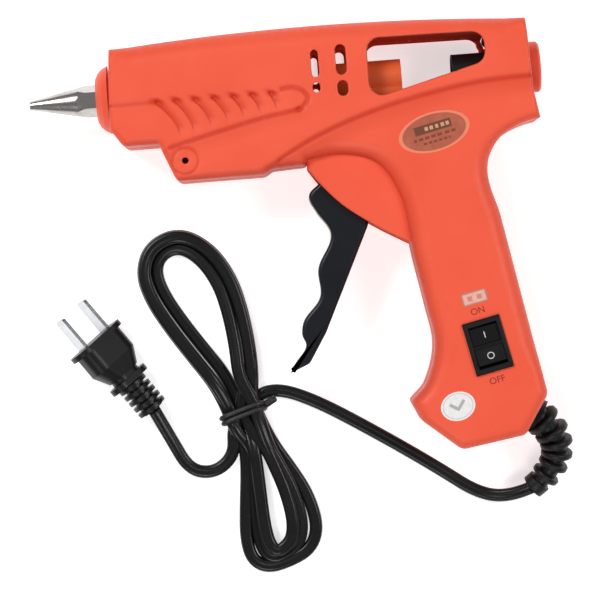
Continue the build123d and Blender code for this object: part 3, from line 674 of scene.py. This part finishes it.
WALL = 2.2
HALF = TOP - MIDDLE          # parting plane to the flat side
POD_HALF = 13.0              # to the outside of the trigger's cheeks
SLOT_HALF = 10.8             # to their inside
STAND_HOLE = (-39.8, -27.2)
SCREWS = [
    (-54, 13.2), (-30, -26.5), (2, 13.2), (83.4, 12.6), (86, -17.2), (66, -52), (56.5, -88), (52, -131),
]
SCREW_WELL = 2.9
SWITCH = (71.7, -107.8)
SWITCH_TURN = 12


def rounded(corners, closed=False):
    """A line through (x, y, radius) corners, each turned by an arc."""
    line = []
    count = len(corners)
    for index, (x, y, radius) in enumerate(corners):
        here = Vector((x, y))
        if radius == 0 or (not closed and index in (0, count - 1)):
            line.append(here)
            continue
        back = (Vector(corners[index - 1][:2]) - here).normalized()
        ahead = (Vector(corners[(index + 1) % count][:2]) - here).normalized()
        half = back.angle(ahead) / 2
        start = here + back * radius / math.tan(half)
        end = here + ahead * radius / math.tan(half)
        centre = here + (back + ahead).normalized() * radius / math.sin(half)
        for step in range(7):
            spoke = (start - centre).lerp(end - centre, step / 6)
            line.append(centre + spoke.normalized() * radius)
    return line


def through(points, leave, arrive):
    """A smooth line through points, with its directions at both ends."""
    places = [Vector(point) for point in points]
    heads = [Vector(leave).normalized()]
    heads += [(after - before).normalized() for before, after in zip(places, places[2:])]
    heads.append(Vector(arrive).normalized())
    line = []
    for start, end, head, tail in zip(places, places[1:], heads, heads[1:]):
        reach = (end - start).length
        for step in range(12):
            t = step / 12
            line.append(
                start * (2 * t ** 3 - 3 * t ** 2 + 1) + head * reach * (t ** 3 - 2 * t ** 2 + t)
                + end * (3 * t ** 2 - 2 * t ** 3) + tail * reach * (t ** 3 - t ** 2)
            )
    line.append(places[-1])
    return line


def loop_array(line, step):
    """A closed line in even steps, as an array."""
    closed = [Vector((*point[:2], 0)) for point in line]
    closed.append(closed[0])
    even = evenly(closed, line_length(closed) / round(line_length(closed) / step))
    return np.array([point[:2] for point in even[:-1]])


def casing_outline():
    """The gun's silhouette, anticlockwise from the nose."""
    top_front, top_rear, barrel_top, crown = -66.5, 96.3, 18.4, 3.6
    nose = rounded([
        (top_front, barrel_top, 0), (-68.3, -12.7, 1.5), (-63.5, -19.8, 2.5), (-49.9, -19.8, 1.2),
        (-43.8, -34.8, 2.5), (-9.5, -34.8, 3), (-6.5, -32.8, 3), (7.4, -32.2, 1.5), (7.4, -30.4, 0),
    ])
    arch = through(
        [(7.4, -30.4), (21, -29.2), (34.2, -33.4), (42.3, -46.6), (45.4, -66)], (1, 0.12), (0.12, -1)
    )
    front = through(
        [(45.4, -66), (49.4, -90), (51.6, -106), (47.2, -120.5), (40.7, -127.5)], (0.12, -1), (-0.6, -0.8)
    )
    base = rounded([
        (40.7, -127.5, 0), (44.3, -135.3, 3), (59, -147.7, 4), (84.2, -143.8, 4), (94, -128.5, 4),
        (81.2, -58, 0),
    ])
    back = through(
        [(81.2, -58), (77.5, -43), (78.7, -33.8), (85.2, -25.8), (99.4, -21)], (-12.8, 70.5), (1, 0.1)
    )
    tail = rounded([(99.4, -21, 0), (97.3, -10, 4), (top_rear, barrel_top, 0)])
    shares = [step / 40 for step in range(1, 40)]
    length = top_rear - top_front
    top = [Vector((top_rear - length * t, barrel_top + crown * 4 * t * (1 - t))) for t in shares]
    return loop_array(nose + arch[1:] + front[1:] + base[1:] + back[1:] + tail[1:] + top, 1.1)


def edge_rounding(outline):
    """How softly the flat side turns down at each point of the silhouette."""
    marks = np.array([
        (-67, 0, 1.4), (-66, -16, 3), (-56, -19.8, 4), (-47, -27, 3), (-26, -34.8, 4.6), (0, -32.5, 4.6),
        (22, -29, 6.6), (40, -44, 7), (48, -90, 6.6), (46, -122, 6), (50, -141, 4.5), (72, -146, 4.5),
        (90, -136, 4.5), (87, -92, 6.6), (78, -42, 6.6), (91, -23, 4), (98, -8, 1.3), (96.4, 12, 1.3),
        (88, 18.6, 8), (20, 22, 8.4), (-58, 18.7, 8), (-66.6, 12, 1.4),
    ])
    places, sizes = marks[:, :2], marks[:, 2]
    radii = sizes[np.linalg.norm(outline[:, None] - places[None], axis=2).argmin(1)]
    window = 11
    padded = np.concatenate([radii[-window:], radii, radii[:window]])
    return np.convolve(padded, np.ones(window) / window, "same")[window:-window]


def inside(points, loop):
    """Which points lie within a closed loop."""
    x, y = points[:, 0][:, None], points[:, 1][:, None]
    x0, y0 = loop[:, 0][None], loop[:, 1][None]
    x1, y1 = np.roll(loop[:, 0], -1)[None], np.roll(loop[:, 1], -1)[None]
    crosses = (y0 > y) != (y1 > y)
    rise = np.where(y1 == y0, 1e-9, y1 - y0)
    return (crosses & (x < (x1 - x0) * (y - y0) / rise + x0)).sum(1) % 2 == 1


def distance_to(points, line, closed=True):
    """Distance to a line, and the number of its nearest point."""
    start = line if closed else line[:-1]
    end = np.roll(line, -1, axis=0) if closed else line[1:]
    along = end - start
    best = np.full(len(points), 1e9)
    which = np.zeros(len(points), int)
    for first in range(0, len(points), 4000):
        block = points[first:first + 4000]
        away = block[:, None] - start[None]
        share = np.clip((away * along[None]).sum(2) / np.maximum((along ** 2).sum(1)[None], 1e-12), 0, 1)
        gaps = np.linalg.norm(away - share[..., None] * along[None], axis=2)
        nearest = gaps.argmin(1)
        best[first:first + 4000] = gaps[np.arange(len(block)), nearest]
        which[first:first + 4000] = (nearest + (share[np.arange(len(block)), nearest] > 0.5)) % len(line)
    return best, which


def inward(loop):
    """The direction into the material at each point of an anticlockwise loop."""
    ahead = np.roll(loop, -1, axis=0) - np.roll(loop, 1, axis=0)
    ahead /= np.linalg.norm(ahead, axis=1)[:, None]
    return np.stack([-ahead[:, 1], ahead[:, 0]], axis=1)


def ring_loop(x, y, radius, step=0.7):
    """A circle as a closed line."""
    count = max(16, int(math.tau * radius / step))
    turns = [math.tau * i / count for i in range(count)]
    return np.array([(x + radius * math.cos(turn), y + radius * math.sin(turn)) for turn in turns])


def slot_loop(x, width, top, bottom):
    """A vent: an upright slot with round ends."""
    radius = width / 2
    turns = [math.pi * step / 10 for step in range(11)]
    middle = (top + bottom) / 2
    high, low = max(top - radius, middle), min(bottom + radius, middle)
    upper = [(x + radius * math.cos(turn), high + radius * math.sin(turn)) for turn in turns]
    lower = [(x - radius * math.cos(turn), low - radius * math.sin(turn)) for turn in turns]
    return loop_array([Vector(point) for point in upper + lower], 0.8)


def window_loop():
    """The long window that shows the feed."""
    corners = [(33.8, 14.8, 5), (33.8, -9.1, 5), (79.5, 2.6, 5), (79.5, 14.2, 5)]
    return loop_array(rounded(corners, closed=True), 0.9)


def switch_loop():
    """The opening that the switch snaps into."""
    turn = Matrix.Rotation(math.radians(SWITCH_TURN), 2)
    corners = [(-6.6, -9.6, 0.6), (6.6, -9.6, 0.6), (6.6, 9.6, 0.6), (-6.6, 9.6, 0.6)]
    return loop_array([Vector(SWITCH) + turn @ point for point in rounded(corners, closed=True)], 0.9)


# x, width, top and bottom of each vent
VENTS = [(13.2, 2.8, 11.8, 1.2), (13.2, 2.8, -0.7, -4.8), (23.4, 4.0, 13.2, 1.4), (23.4, 4.0, -0.8, -6.8)]
# grooves of the flat side: the long sweep under the barrel, a step at the nose, the ribbed panel's rim
SWEEP_LINE = through(
    [(-3.5, -29.6), (10.4, -22.2), (26.8, -15.8), (47.4, -10.1), (74.7, -5.3), (96.9, -4.2)],
    (1.4, 0.8), (1, 0.02),
)
STEP_LINE = [Vector((-67.4, -3.7)), Vector((-51.4, -3.5))]
PANEL_FOOT = through([(-45.4, -21.6), (-19, -15.2), (-6, -12.4), (5.6, -10.6)], (1, 0.25), (1, 0.2))
PANEL_END = through([(5.6, -10.6), (9.3, -6.4), (5.4, -2.3), (-0.6, -2.4)], (1, 0.2), (-1, -0.2))
RIB_TOP = -3.6
RIB_FIRST = -50.2
RIB_PITCH = 7.43
RIB_END = 1.2                # length over which a rib fades at its ends
RIB_FEET = [
    (-41.5, -17.3), (-36.0, -16.4), (-29.3, -14.4), (-22.8, -13.0), (-16.4, -11.8), (-9.8, -11.0),
    (-3.4, -10.2),
]


def as_array(line):
    """An open line in even steps, as an array."""
    return np.array([point[:2] for point in evenly([Vector((*p[:2], 0)) for p in line], 0.6)])


def rib_line(number, down):
    """Where a rib's crest stands at each share of its way down."""
    top_x = RIB_FIRST + RIB_PITCH * number
    foot_x, foot_y = RIB_FEET[number]
    return top_x + (foot_x - top_x) * np.sin(down * math.pi / 2), RIB_TOP + (foot_y - RIB_TOP) * down


def rib_relief(points):
    """Scale-like ribs: each is cut down sharply behind its crest and climbs back to the next."""
    x, y = points[:, 0], points[:, 1]
    drop = np.zeros(len(points))
    for number, (_, foot_y) in enumerate(RIB_FEET):
        down = np.clip((RIB_TOP - y) / (RIB_TOP - foot_y), 0, 1)
        crest, _ = rib_line(number, down)
        behind = (x - crest) / (RIB_PITCH * 0.92)
        within = (behind > 0) & (behind < 1) & (y < RIB_TOP + RIB_END) & (y > foot_y - RIB_END)
        fade = np.clip((RIB_TOP + RIB_END - y) / RIB_END, 0, 1) * np.clip((y - foot_y + RIB_END) / 4.5, 0, 1)
        cut = np.clip(behind / 0.07, 0, 1) * np.clip(1 - behind, 0, 1) ** 2.6
        drop += np.where(within, cut * fade * (1.45 - 0.45 * down), 0)
        along, over = x - (RIB_FIRST + RIB_PITCH * number) - 0.9, y - RIB_TOP - 0.2
        lean, upright = 0.34, 0.94
        notch = np.hypot((along * upright - over * lean) / 2.3, (along * lean + over * upright) / 1.15)
        drop += 1.1 * np.exp(-notch ** 2)
    return drop


def soft_line(points, line, depth, width, shelf, reach):
    """A groove with a shallow shelf that fades away on its right-hand side."""
    gap, which = distance_to(points, line, closed=False)
    ahead = np.gradient(line, axis=0)
    across = points - line[which]
    side = ahead[which, 0] * across[:, 1] - ahead[which, 1] * across[:, 0]
    fade = np.exp(-(gap / reach) ** 2)
    return depth * np.exp(-(gap / width) ** 2) + np.where(side < 0, shelf * fade, 0)


def flat_side(points, outline, radii, holes, soft_hole):
    """Height of the shell over its parting plane, and how strongly painted shade darkens each point."""
    gap, which = distance_to(points, outline)
    radius = radii[which]
    short = np.clip(radius - gap, 0, radius)
    height = HALF - (radius - np.sqrt(np.maximum(radius ** 2 - short ** 2, 0)))
    for loop in holes:
        rim = 0.9 if loop is soft_hole else 0.5
        gap, _ = distance_to(points, loop)
        short = np.clip(rim - gap, 0, rim)
        height -= rim - np.sqrt(np.maximum(rim ** 2 - short ** 2, 0))
    turned_down = (HALF - height) / np.maximum(radius, 0.1)
    cut = rib_relief(points)
    for line, depth, width, shelf, reach in (
        (SWEEP_LINE, 0.85, 0.95, 0.55, 7), (STEP_LINE, 0.65, 0.75, 0.25, 5),
        (PANEL_FOOT, 0.85, 0.85, 0.40, 6), (PANEL_END, 0.95, 0.95, 0.0, 5),
    ):
        cut += soft_line(points, as_array(line), depth, width, shelf, reach)
    boss = np.hypot(points[:, 0] - STAND_HOLE[0], points[:, 1] - STAND_HOLE[1])
    boss_rise, boss_radius, boss_slope = 0.55, 4.7, 0.18
    moat = 0.45 * np.exp(-((boss - 5.3) / 0.5) ** 2)
    height += boss_rise / (1 + np.exp(np.clip((boss - boss_radius) / boss_slope, -30, 30))) - moat - cut
    # painted shade weight: grooves, the moat round the boss and turned-down edges are darkened as if in shade
    painted_shade = np.clip((cut + moat) * 0.85 - 0.1, 0, 0.85) + 0.62 * np.clip(turned_down, 0, 1) ** 0.8
    return height, np.clip(painted_shade, 0, 0.9)


def detail_points(outline, radii, holes):
    """Points that the surface needs: rings along its edges, rows along its lines, and a grid elsewhere."""
    kept = []
    into = inward(outline)
    for angle in (14, 28, 42, 56, 70, 84):
        reach = radii * (1 - math.cos(math.radians(angle)))
        ring = outline + into * reach[:, None]
        gap, _ = distance_to(ring, outline)
        kept.append(ring[gap > reach * 0.96])
    for loop in holes:
        out = -inward(loop)
        for reach in (0.08, 0.3, 0.7, 1.1):
            kept.append(loop + out * reach)
    for line, reaches in (
        (SWEEP_LINE, (0, 0.4, 0.8, 1.3, 2.0, 3.2, 4.8)), (PANEL_FOOT, (0, 0.4, 0.8, 1.3, 2.0)),
        (STEP_LINE, (0, 0.4, 0.8, 1.3, 1.9)), (PANEL_END, (0, 0.4, 0.8, 1.3, 2.0)),
    ):
        row = as_array(line)
        ahead = np.gradient(row, axis=0)
        ahead /= np.linalg.norm(ahead, axis=1)[:, None]
        aside = np.stack([-ahead[:, 1], ahead[:, 0]], axis=1)
        for reach in reaches:
            kept += [row + aside * reach, row - aside * reach] if reach else [row]
    for number in range(len(RIB_FEET)):
        down = np.linspace(0, 1, 22)
        x, y = rib_line(number, down)
        kept += [np.stack([x + aside, y], axis=1) for aside in (-0.7, -0.15, 0.15, 0.4, 0.75, 1.6, 2.8, 4.4)]
    for radius in (3.6, 4.3, 4.6, 4.9, 5.3, 5.9):
        kept.append(ring_loop(*STAND_HOLE, radius, 0.9))
    for x0, x1, y0, y1, step in ((-54, 11, -23, 0, 0.9), (-70, 101, -149, 24, 2.6)):
        kept.append(np.mgrid[x0:x1:step, y0:y1:step].reshape(2, -1).T)
    points = np.concatenate(kept)
    points = points[inside(points, outline)]
    gap, _ = distance_to(points, outline)
    points = points[gap > 0.05]
    for loop in holes:
        gap, _ = distance_to(points, loop)
        points = points[(gap > 0.05) & ~inside(points, loop)]
    _, first = np.unique(np.round(points / 0.22).astype(int), axis=0, return_index=True)
    return points[np.sort(first)]


def shell_surface(outline, radii, holes, soft_hole):
    """The outside of half a casing: its flat side with holes, and its walls down to the parting plane."""
    points = detail_points(outline, radii, holes)
    loops = [outline, *holes]
    fixed = np.concatenate(loops)
    edges = []
    for loop in loops:
        start = len(edges)
        edges += [(start + i, start + (i + 1) % len(loop)) for i in range(len(loop))]
    places = [Vector(point) for point in np.concatenate([fixed, points])]
    flat, _, triangles, _, _, _ = delaunay_2d_cdt(places, edges, [], 1, 1e-4)
    flat = np.array([point[:] for point in flat])
    triangles = np.array([face for face in triangles if len(face) == 3])
    centres = flat[triangles].mean(1)
    keep = inside(centres, outline)
    for loop in holes:
        keep &= ~inside(centres, loop)
    triangles = triangles[keep]
    heights, painted_shade = flat_side(flat, outline, radii, holes, soft_hole)
    surface = [(x, y, h) for (x, y), h in zip(flat, heights)]
    faces = [tuple(int(index) for index in face) for face in triangles]
    rim = len(outline)
    rows = 4
    base = len(surface)
    seam_tuck, seam_half = 0.10, 0.02
    for row in range(1, rows + 1):
        ring = outline + inward(outline) * (seam_tuck if row == rows else 0.0)
        lift = 1 - row / rows
        surface += [(x, y, max(height * lift, seam_half)) for (x, y), height in zip(ring, heights)]
    for row in range(rows):
        upper = 0 if row == 0 else base + (row - 1) * rim
        lower = base + row * rim
        for index in range(rim):
            after = (index + 1) % rim
            faces.append((upper + index, lower + index, lower + after, upper + after))
    # painted shade: the walls down to the parting plane are darkened at least halfway
    painted_shade = np.concatenate([painted_shade, np.tile(np.maximum(painted_shade[:rim], 0.5), rows)])
    return surface, faces, painted_shade


def placed(surface, faces, side):
    """Half-casing coordinates as places on the gun: side 1 is the upper half and -1 the lower."""
    points = [(x, y, MIDDLE + side * height) for x, y, height in surface]
    return points, faces if side > 0 else [tuple(reversed(face)) for face in faces]


def rounded_plate(outline, low, high, edge):
    """A plate of even thickness with its outline's edges rounded on both faces."""
    into = inward(outline)
    turns = [math.radians(90 * step / 5) for step in range(6)]
    rings = [(edge * (1 - math.sin(turn)), low + edge * (1 - math.cos(turn))) for turn in turns]
    profile = rings + [(reach, high + low - height) for reach, height in reversed(rings)]
    points = []
    faces = []
    count = len(outline)
    for reach, height in profile:
        points += [(x, y, height) for x, y in outline + into * reach]
    for row in range(len(profile) - 1):
        for index in range(count):
            after = (index + 1) % count
            a, b = row * count + index, row * count + after
            faces.append((a, b, b + count, a + count))
    faces.append(tuple(reversed(range(count))))
    faces.append(tuple(range(len(points) - count, len(points))))
    return points, faces


def pod_outline():
    """The cheek beside the trigger's hub: its lower edge shows, and the rest lies within the casing."""
    edge = through([(7.2, -33.4), (13.4, -42), (21.2, -50), (32.4, -58), (47.2, -66.8)], (0.6, -1), (1, -0.6))
    hidden = [Vector(corner) for corner in ((50, -60), (47, -36), (34, -24.5), (7.2, -26))]
    return loop_array(edge + hidden, 1.2)


def shade_flats(piece):
    """Keep broad flats flat beside rounded edges."""
    shading = piece.modifiers.new("flats", "WEIGHTED_NORMAL")
    shading.keep_sharp = True


def make_shell(name, side):
    """Half of the casing: side 1 has the switch and -1 has the screw wells."""
    outline = casing_outline()
    radii = edge_rounding(outline)
    window = window_loop()
    vents = [slot_loop(*vent) for vent in VENTS]
    holes = [window, *vents, ring_loop(*STAND_HOLE, 1.2, 0.5)]
    if side > 0:
        holes.append(switch_loop())
    else:
        holes += [ring_loop(x, y, SCREW_WELL) for x, y in SCREWS]
    surface, faces, painted_shade = shell_surface(outline, radii, holes, window)
    points, faces = placed(surface, faces, side)
    node = "housing_upper" if side > 0 else "housing_lower"
    shell = add_piece(name, points, faces, shell_plastic, "gun", [node], painted_shade)
    thickness = shell.modifiers.new("wall", "SOLIDIFY")
    thickness.thickness = WALL * MM
    thickness.offset = -1
    shade_flats(shell)
    cheek = rounded_plate(pod_outline(), SLOT_HALF, POD_HALF, 0.9)
    cheek_points, cheek_faces = placed(*cheek, side)
    add_piece(name + "_cheek", cheek_points, cheek_faces, shell_plastic, "gun")


# ---------------------------------------------------------------- trigger, switch and print

PIVOT = Vector((24, -40))
TRIGGER_LEAN = 12.5


def make_trigger():
    """The finger piece with softened edges, its hub, and the slotted arm that moves the carriage."""
    front = through(
        [
            (10.2, -40.6), (7.0, -44.4), (9.4, -50.4), (14.5, -60), (8.6, -72.6), (8.4, -84), (1.6, -92.5),
            (0.2, -98), (1.4, -103), (-3.0, -109), (-5.4, -113),
        ],
        (-1, -0.7), (-0.4, -1),
    )
    back = rounded([
        (-5.4, -113, 0), (2.4, -109.8, 3), (9.8, -98, 10), (29.5, -57, 10), (31.5, -42, 4), (17, -35, 4),
        (10.2, -40.6, 0),
    ])
    finger = rounded_plate(loop_array(front + back[1:-1], 0.8), MIDDLE - 9, MIDDLE + 9, 1.5)
    hub = rounded_plate(ring_loop(*PIVOT, 6.4), MIDDLE - 10.4, MIDDLE + 10.4, 0.5)
    turn = Matrix.Rotation(math.radians(-TRIGGER_LEAN), 2)
    half_arm, half_slot, arm_end, slot_foot = 4.2, 2.3, 30.8, 25.1
    corners = [
        (-half_arm, 0), (half_arm, 0), (half_arm, arm_end), (half_slot, arm_end), (half_slot, slot_foot),
        (-half_slot, slot_foot), (-half_slot, arm_end), (-half_arm, arm_end),
    ]
    arm_outline = loop_array([PIVOT + turn @ Vector(corner) for corner in corners], 0.5)
    arm = rounded_plate(arm_outline, MIDDLE - 3.4, MIDDLE + 3.4, 0.25)
    points, faces = joined(finger, hub, arm)
    shade_flats(
        add_piece("trigger_moulding", points, faces, trigger_plastic, "trigger", ["trigger"])
    )


def on_rocker(x, y):
    """A place on the rocker's two sloping faces."""
    tilt = Matrix.Rotation(math.radians(-11), 3, "X")
    turn = Matrix.Rotation(math.radians(SWITCH_TURN), 3, "Z")
    return Vector((*SWITCH, TOP)) + turn @ (tilt @ Vector((x, y, 0.5 + abs(y) / 7.4)))


def make_rocker_marks():
    """A stroke on one end of the rocker and a ring on the other."""
    stroke = swept([on_rocker(0, 3.0 + 0.5 * step) for step in range(6)], circle(0.22, 8))
    radius, middle = 1.25, -4.3
    turns = [step * math.tau / 24 for step in range(25)]
    ring = [on_rocker(radius * math.cos(turn), middle + radius * math.sin(turn)) for turn in turns]
    points, faces = joined(stroke, swept(ring, circle(0.2, 8)))
    add_piece("rocker_marks", points, faces, white_print, "rocker")


def lettering(words, x, y):
    """Small raised print on the flat side, in line with the switch."""
    curve = bpy.data.curves.new(words, "FONT")
    curve.body = words
    curve.size = 3.6 * MM
    curve.extrude = 0.05 * MM
    curve.align_x = "CENTER"
    curve.align_y = "CENTER"
    holder = bpy.data.objects.new(words, curve)
    bpy.context.collection.objects.link(holder)
    mesh = grown_mesh(holder)
    bpy.data.objects.remove(holder)
    turned = Matrix.Rotation(math.radians(SWITCH_TURN), 4, "Z")
    mesh.transform(Matrix.Translation(Vector((x, y, TOP)) * MM) @ turned)
    mesh.materials.clear()
    mesh.materials.append(red_print.material)
    keep_mesh("print_" + words.lower(), mesh, "gun")


# ---------------------------------------------------------------- repeated pieces

def make_screws():
    """Domed heads with a sunken cross slot, down in the lower shell's wells, each with its plain shank."""
    tree = Growth("housing_screw_set", head=2.8 * MM, shank=1.35 * MM)

    def moved(shape, by):
        return tree.flow("Transform", {"Geometry": shape, "Translation": by})

    dome = tree.flow("MeshUVSphere", {"Segments": 32, "Rings": 16, "Radius": tree.inputs["head"]})
    flattened = tree.flow("Transform", {"Geometry": dome, "Scale": (1, 1, 0.72)})
    block = tree.flow("MeshCube", {"Size": (8 * MM, 8 * MM, 4 * MM)})
    cuts = [moved(block, (0, 0, 2 * MM))]
    long, wide, deep = 3.2 * MM, 0.75 * MM, 2 * MM
    for size in ((long, wide, deep), (wide, long, deep)):
        cuts.append(moved(tree.flow("MeshCube", {"Size": size}), (0, 0, -deep)))
    capped = tree.flow("MeshBoolean", {"Mesh 1": flattened, "Mesh 2": cuts}, operation="DIFFERENCE")
    rod = tree.flow("MeshCylinder", {"Vertices": 20, "Radius": tree.inputs["shank"], "Depth": 21.5 * MM})
    whole = tree.flow("JoinGeometry", {"Geometry": [capped, moved(rod, (0, 0, 10.9 * MM))]})
    seeded = tree.flow("InstanceOnPoints", {"Points": tree.inputs["Seeds"], "Instance": whole})
    head_height = 5.0
    mesh = tree.grown(seeded, screw_steel, [(x, y, head_height) for x, y in SCREWS])
    keep_mesh("shell_screws", mesh, "gun", ["housing_screws"])


BOOT_START = Vector((89.1, -136.1, 19.0))
BOOT_MIDDLE = Vector((97.4, -151.6, 14.2))
BOOT_TIP = Vector(BOOT_END)
BOOT_WAY = Vector((math.cos(math.radians(-33)), math.sin(math.radians(-33)), 0))


def boot_line(count):
    """Places along the boot's bend."""
    control = BOOT_MIDDLE * 2 - (BOOT_START + BOOT_TIP) * 0.5
    shares = [step / (count - 1) for step in range(count)]
    return [BOOT_START * (1 - t) ** 2 + control * 2 * t * (1 - t) + BOOT_TIP * t ** 2 for t in shares]


def make_boot():
    """A tapering sleeve laid along a bend, with blocky rings that leave gaps between them."""
    line = boot_line(49)
    core = swept(line, lambda index: circle(4.1 - 0.012 * index, 24))
    root = [BOOT_START + BOOT_WAY * along for along in (-3.6, -2.4, -2.39, 2.6)]
    root_radii = (7.3, 7.3, 5.9, 6.5)
    collar = swept(root, lambda index: circle(root_radii[index], 32))
    tip = swept(line[-5:], circle(5.0, 24))
    points, faces = joined(core, collar, tip)
    add_piece("boot_sleeve", points, faces, boot_rubber, "gun")
    tree = Growth("boot_ring_set", ring=4.6 * MM, thick=2.6 * MM, corner=0.5 * MM)
    around = tree.flow("CurvePrimitiveCircle", {"Resolution": 40, "Radius": tree.inputs["ring"]})
    block = tree.flow("CurvePrimitiveQuadrilateral", {"Width": 3.4 * MM, "Height": tree.inputs["thick"]})
    soft = tree.flow("FilletCurve", {"Curve": block, "Radius": tree.inputs["corner"]})
    hoop = tree.flow("CurveToMesh", {"Curve": around, "Profile Curve": soft})
    way = tree.named("way", "FLOAT_VECTOR")
    aim = tree.flow("FunctionNodeAlignRotationToVector", {"Vector": way}, axis="Z")
    seeded = tree.flow("InstanceOnPoints", {
        "Points": tree.inputs["Seeds"], "Instance": hoop, "Rotation": aim, "Scale": tree.named("size"),
    })
    sizes = [1.14, 1.1, 1.04, 1.0, 0.95, 0.92]
    stops = range(5, 41, 7)
    places = [line[stop] for stop in stops]
    ways = [(line[stop + 1] - line[stop - 1]).normalized() for stop in stops]
    mesh = tree.grown(seeded, boot_rubber, places, {"way": ways, "size": sizes})
    keep_mesh("boot_rings", mesh, "gun", ["strain_relief"])


make_camera()
make_stage()
mains_cord, cord_line = make_cord()
hank_tie = make_tie()
make_shell("upper_shell", 1)
make_shell("lower_shell", -1)
make_trigger()
make_rocker_marks()
lettering("ON", 68.9, -94.2)
lettering("OFF", 74.4, -121.5)
make_screws()
make_boot()

for finish, nodes in (
    (shell_plastic, ("nose_collar", "rear_collar")),
    (slide_plastic, ("feed_carriage",)),
    (black_plastic, ("rear_guide", "switch_body", "cord_clamp")),
    (switch_plastic, ("switch_rocker",)),
    (nozzle_metal, ("nozzle",)),
    (cast_alloy, ("melt_chamber",)),
    (brass, ("electrode_upper", "electrode_lower", "switch_terminals")),
    (ceramic, ("ptc_heater",)),
    (amber_film, ("heater_film",)),
    (fibre_board, ("chamber_plate_front", "chamber_plate_rear")),
    (silicone, ("stick_sleeve",)),
    (spring_steel, ("wedge_spring", "sleeve_clip", "return_spring")),
    (pin_steel, ("carriage_pin", "jaw_pin", "grip_jaw", "trigger_pin", "spring_post")),
    (screw_steel, ("clamp_screws",)),
    (oval_label_print(), ("oval_label",)),
    (panel_label_print(), ("panel_label",)),
    (round_sticker_print(), ("round_sticker",)),
    (cord_vinyl, ("cord_inner",)),
    (wire_blue, ("neutral_wire",)),
    (wire_brown, ("switch_wire", "live_wire")),
    (plug_vinyl, ("plug_body",)),
    (blade_metal, ("plug_blades",)),
):
    for node in nodes:
        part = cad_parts[node]
        part.data.materials.clear()
        part.data.materials.append(finish.material)

line_length(cord_line) * MM
[point * MM for point in cord_line]
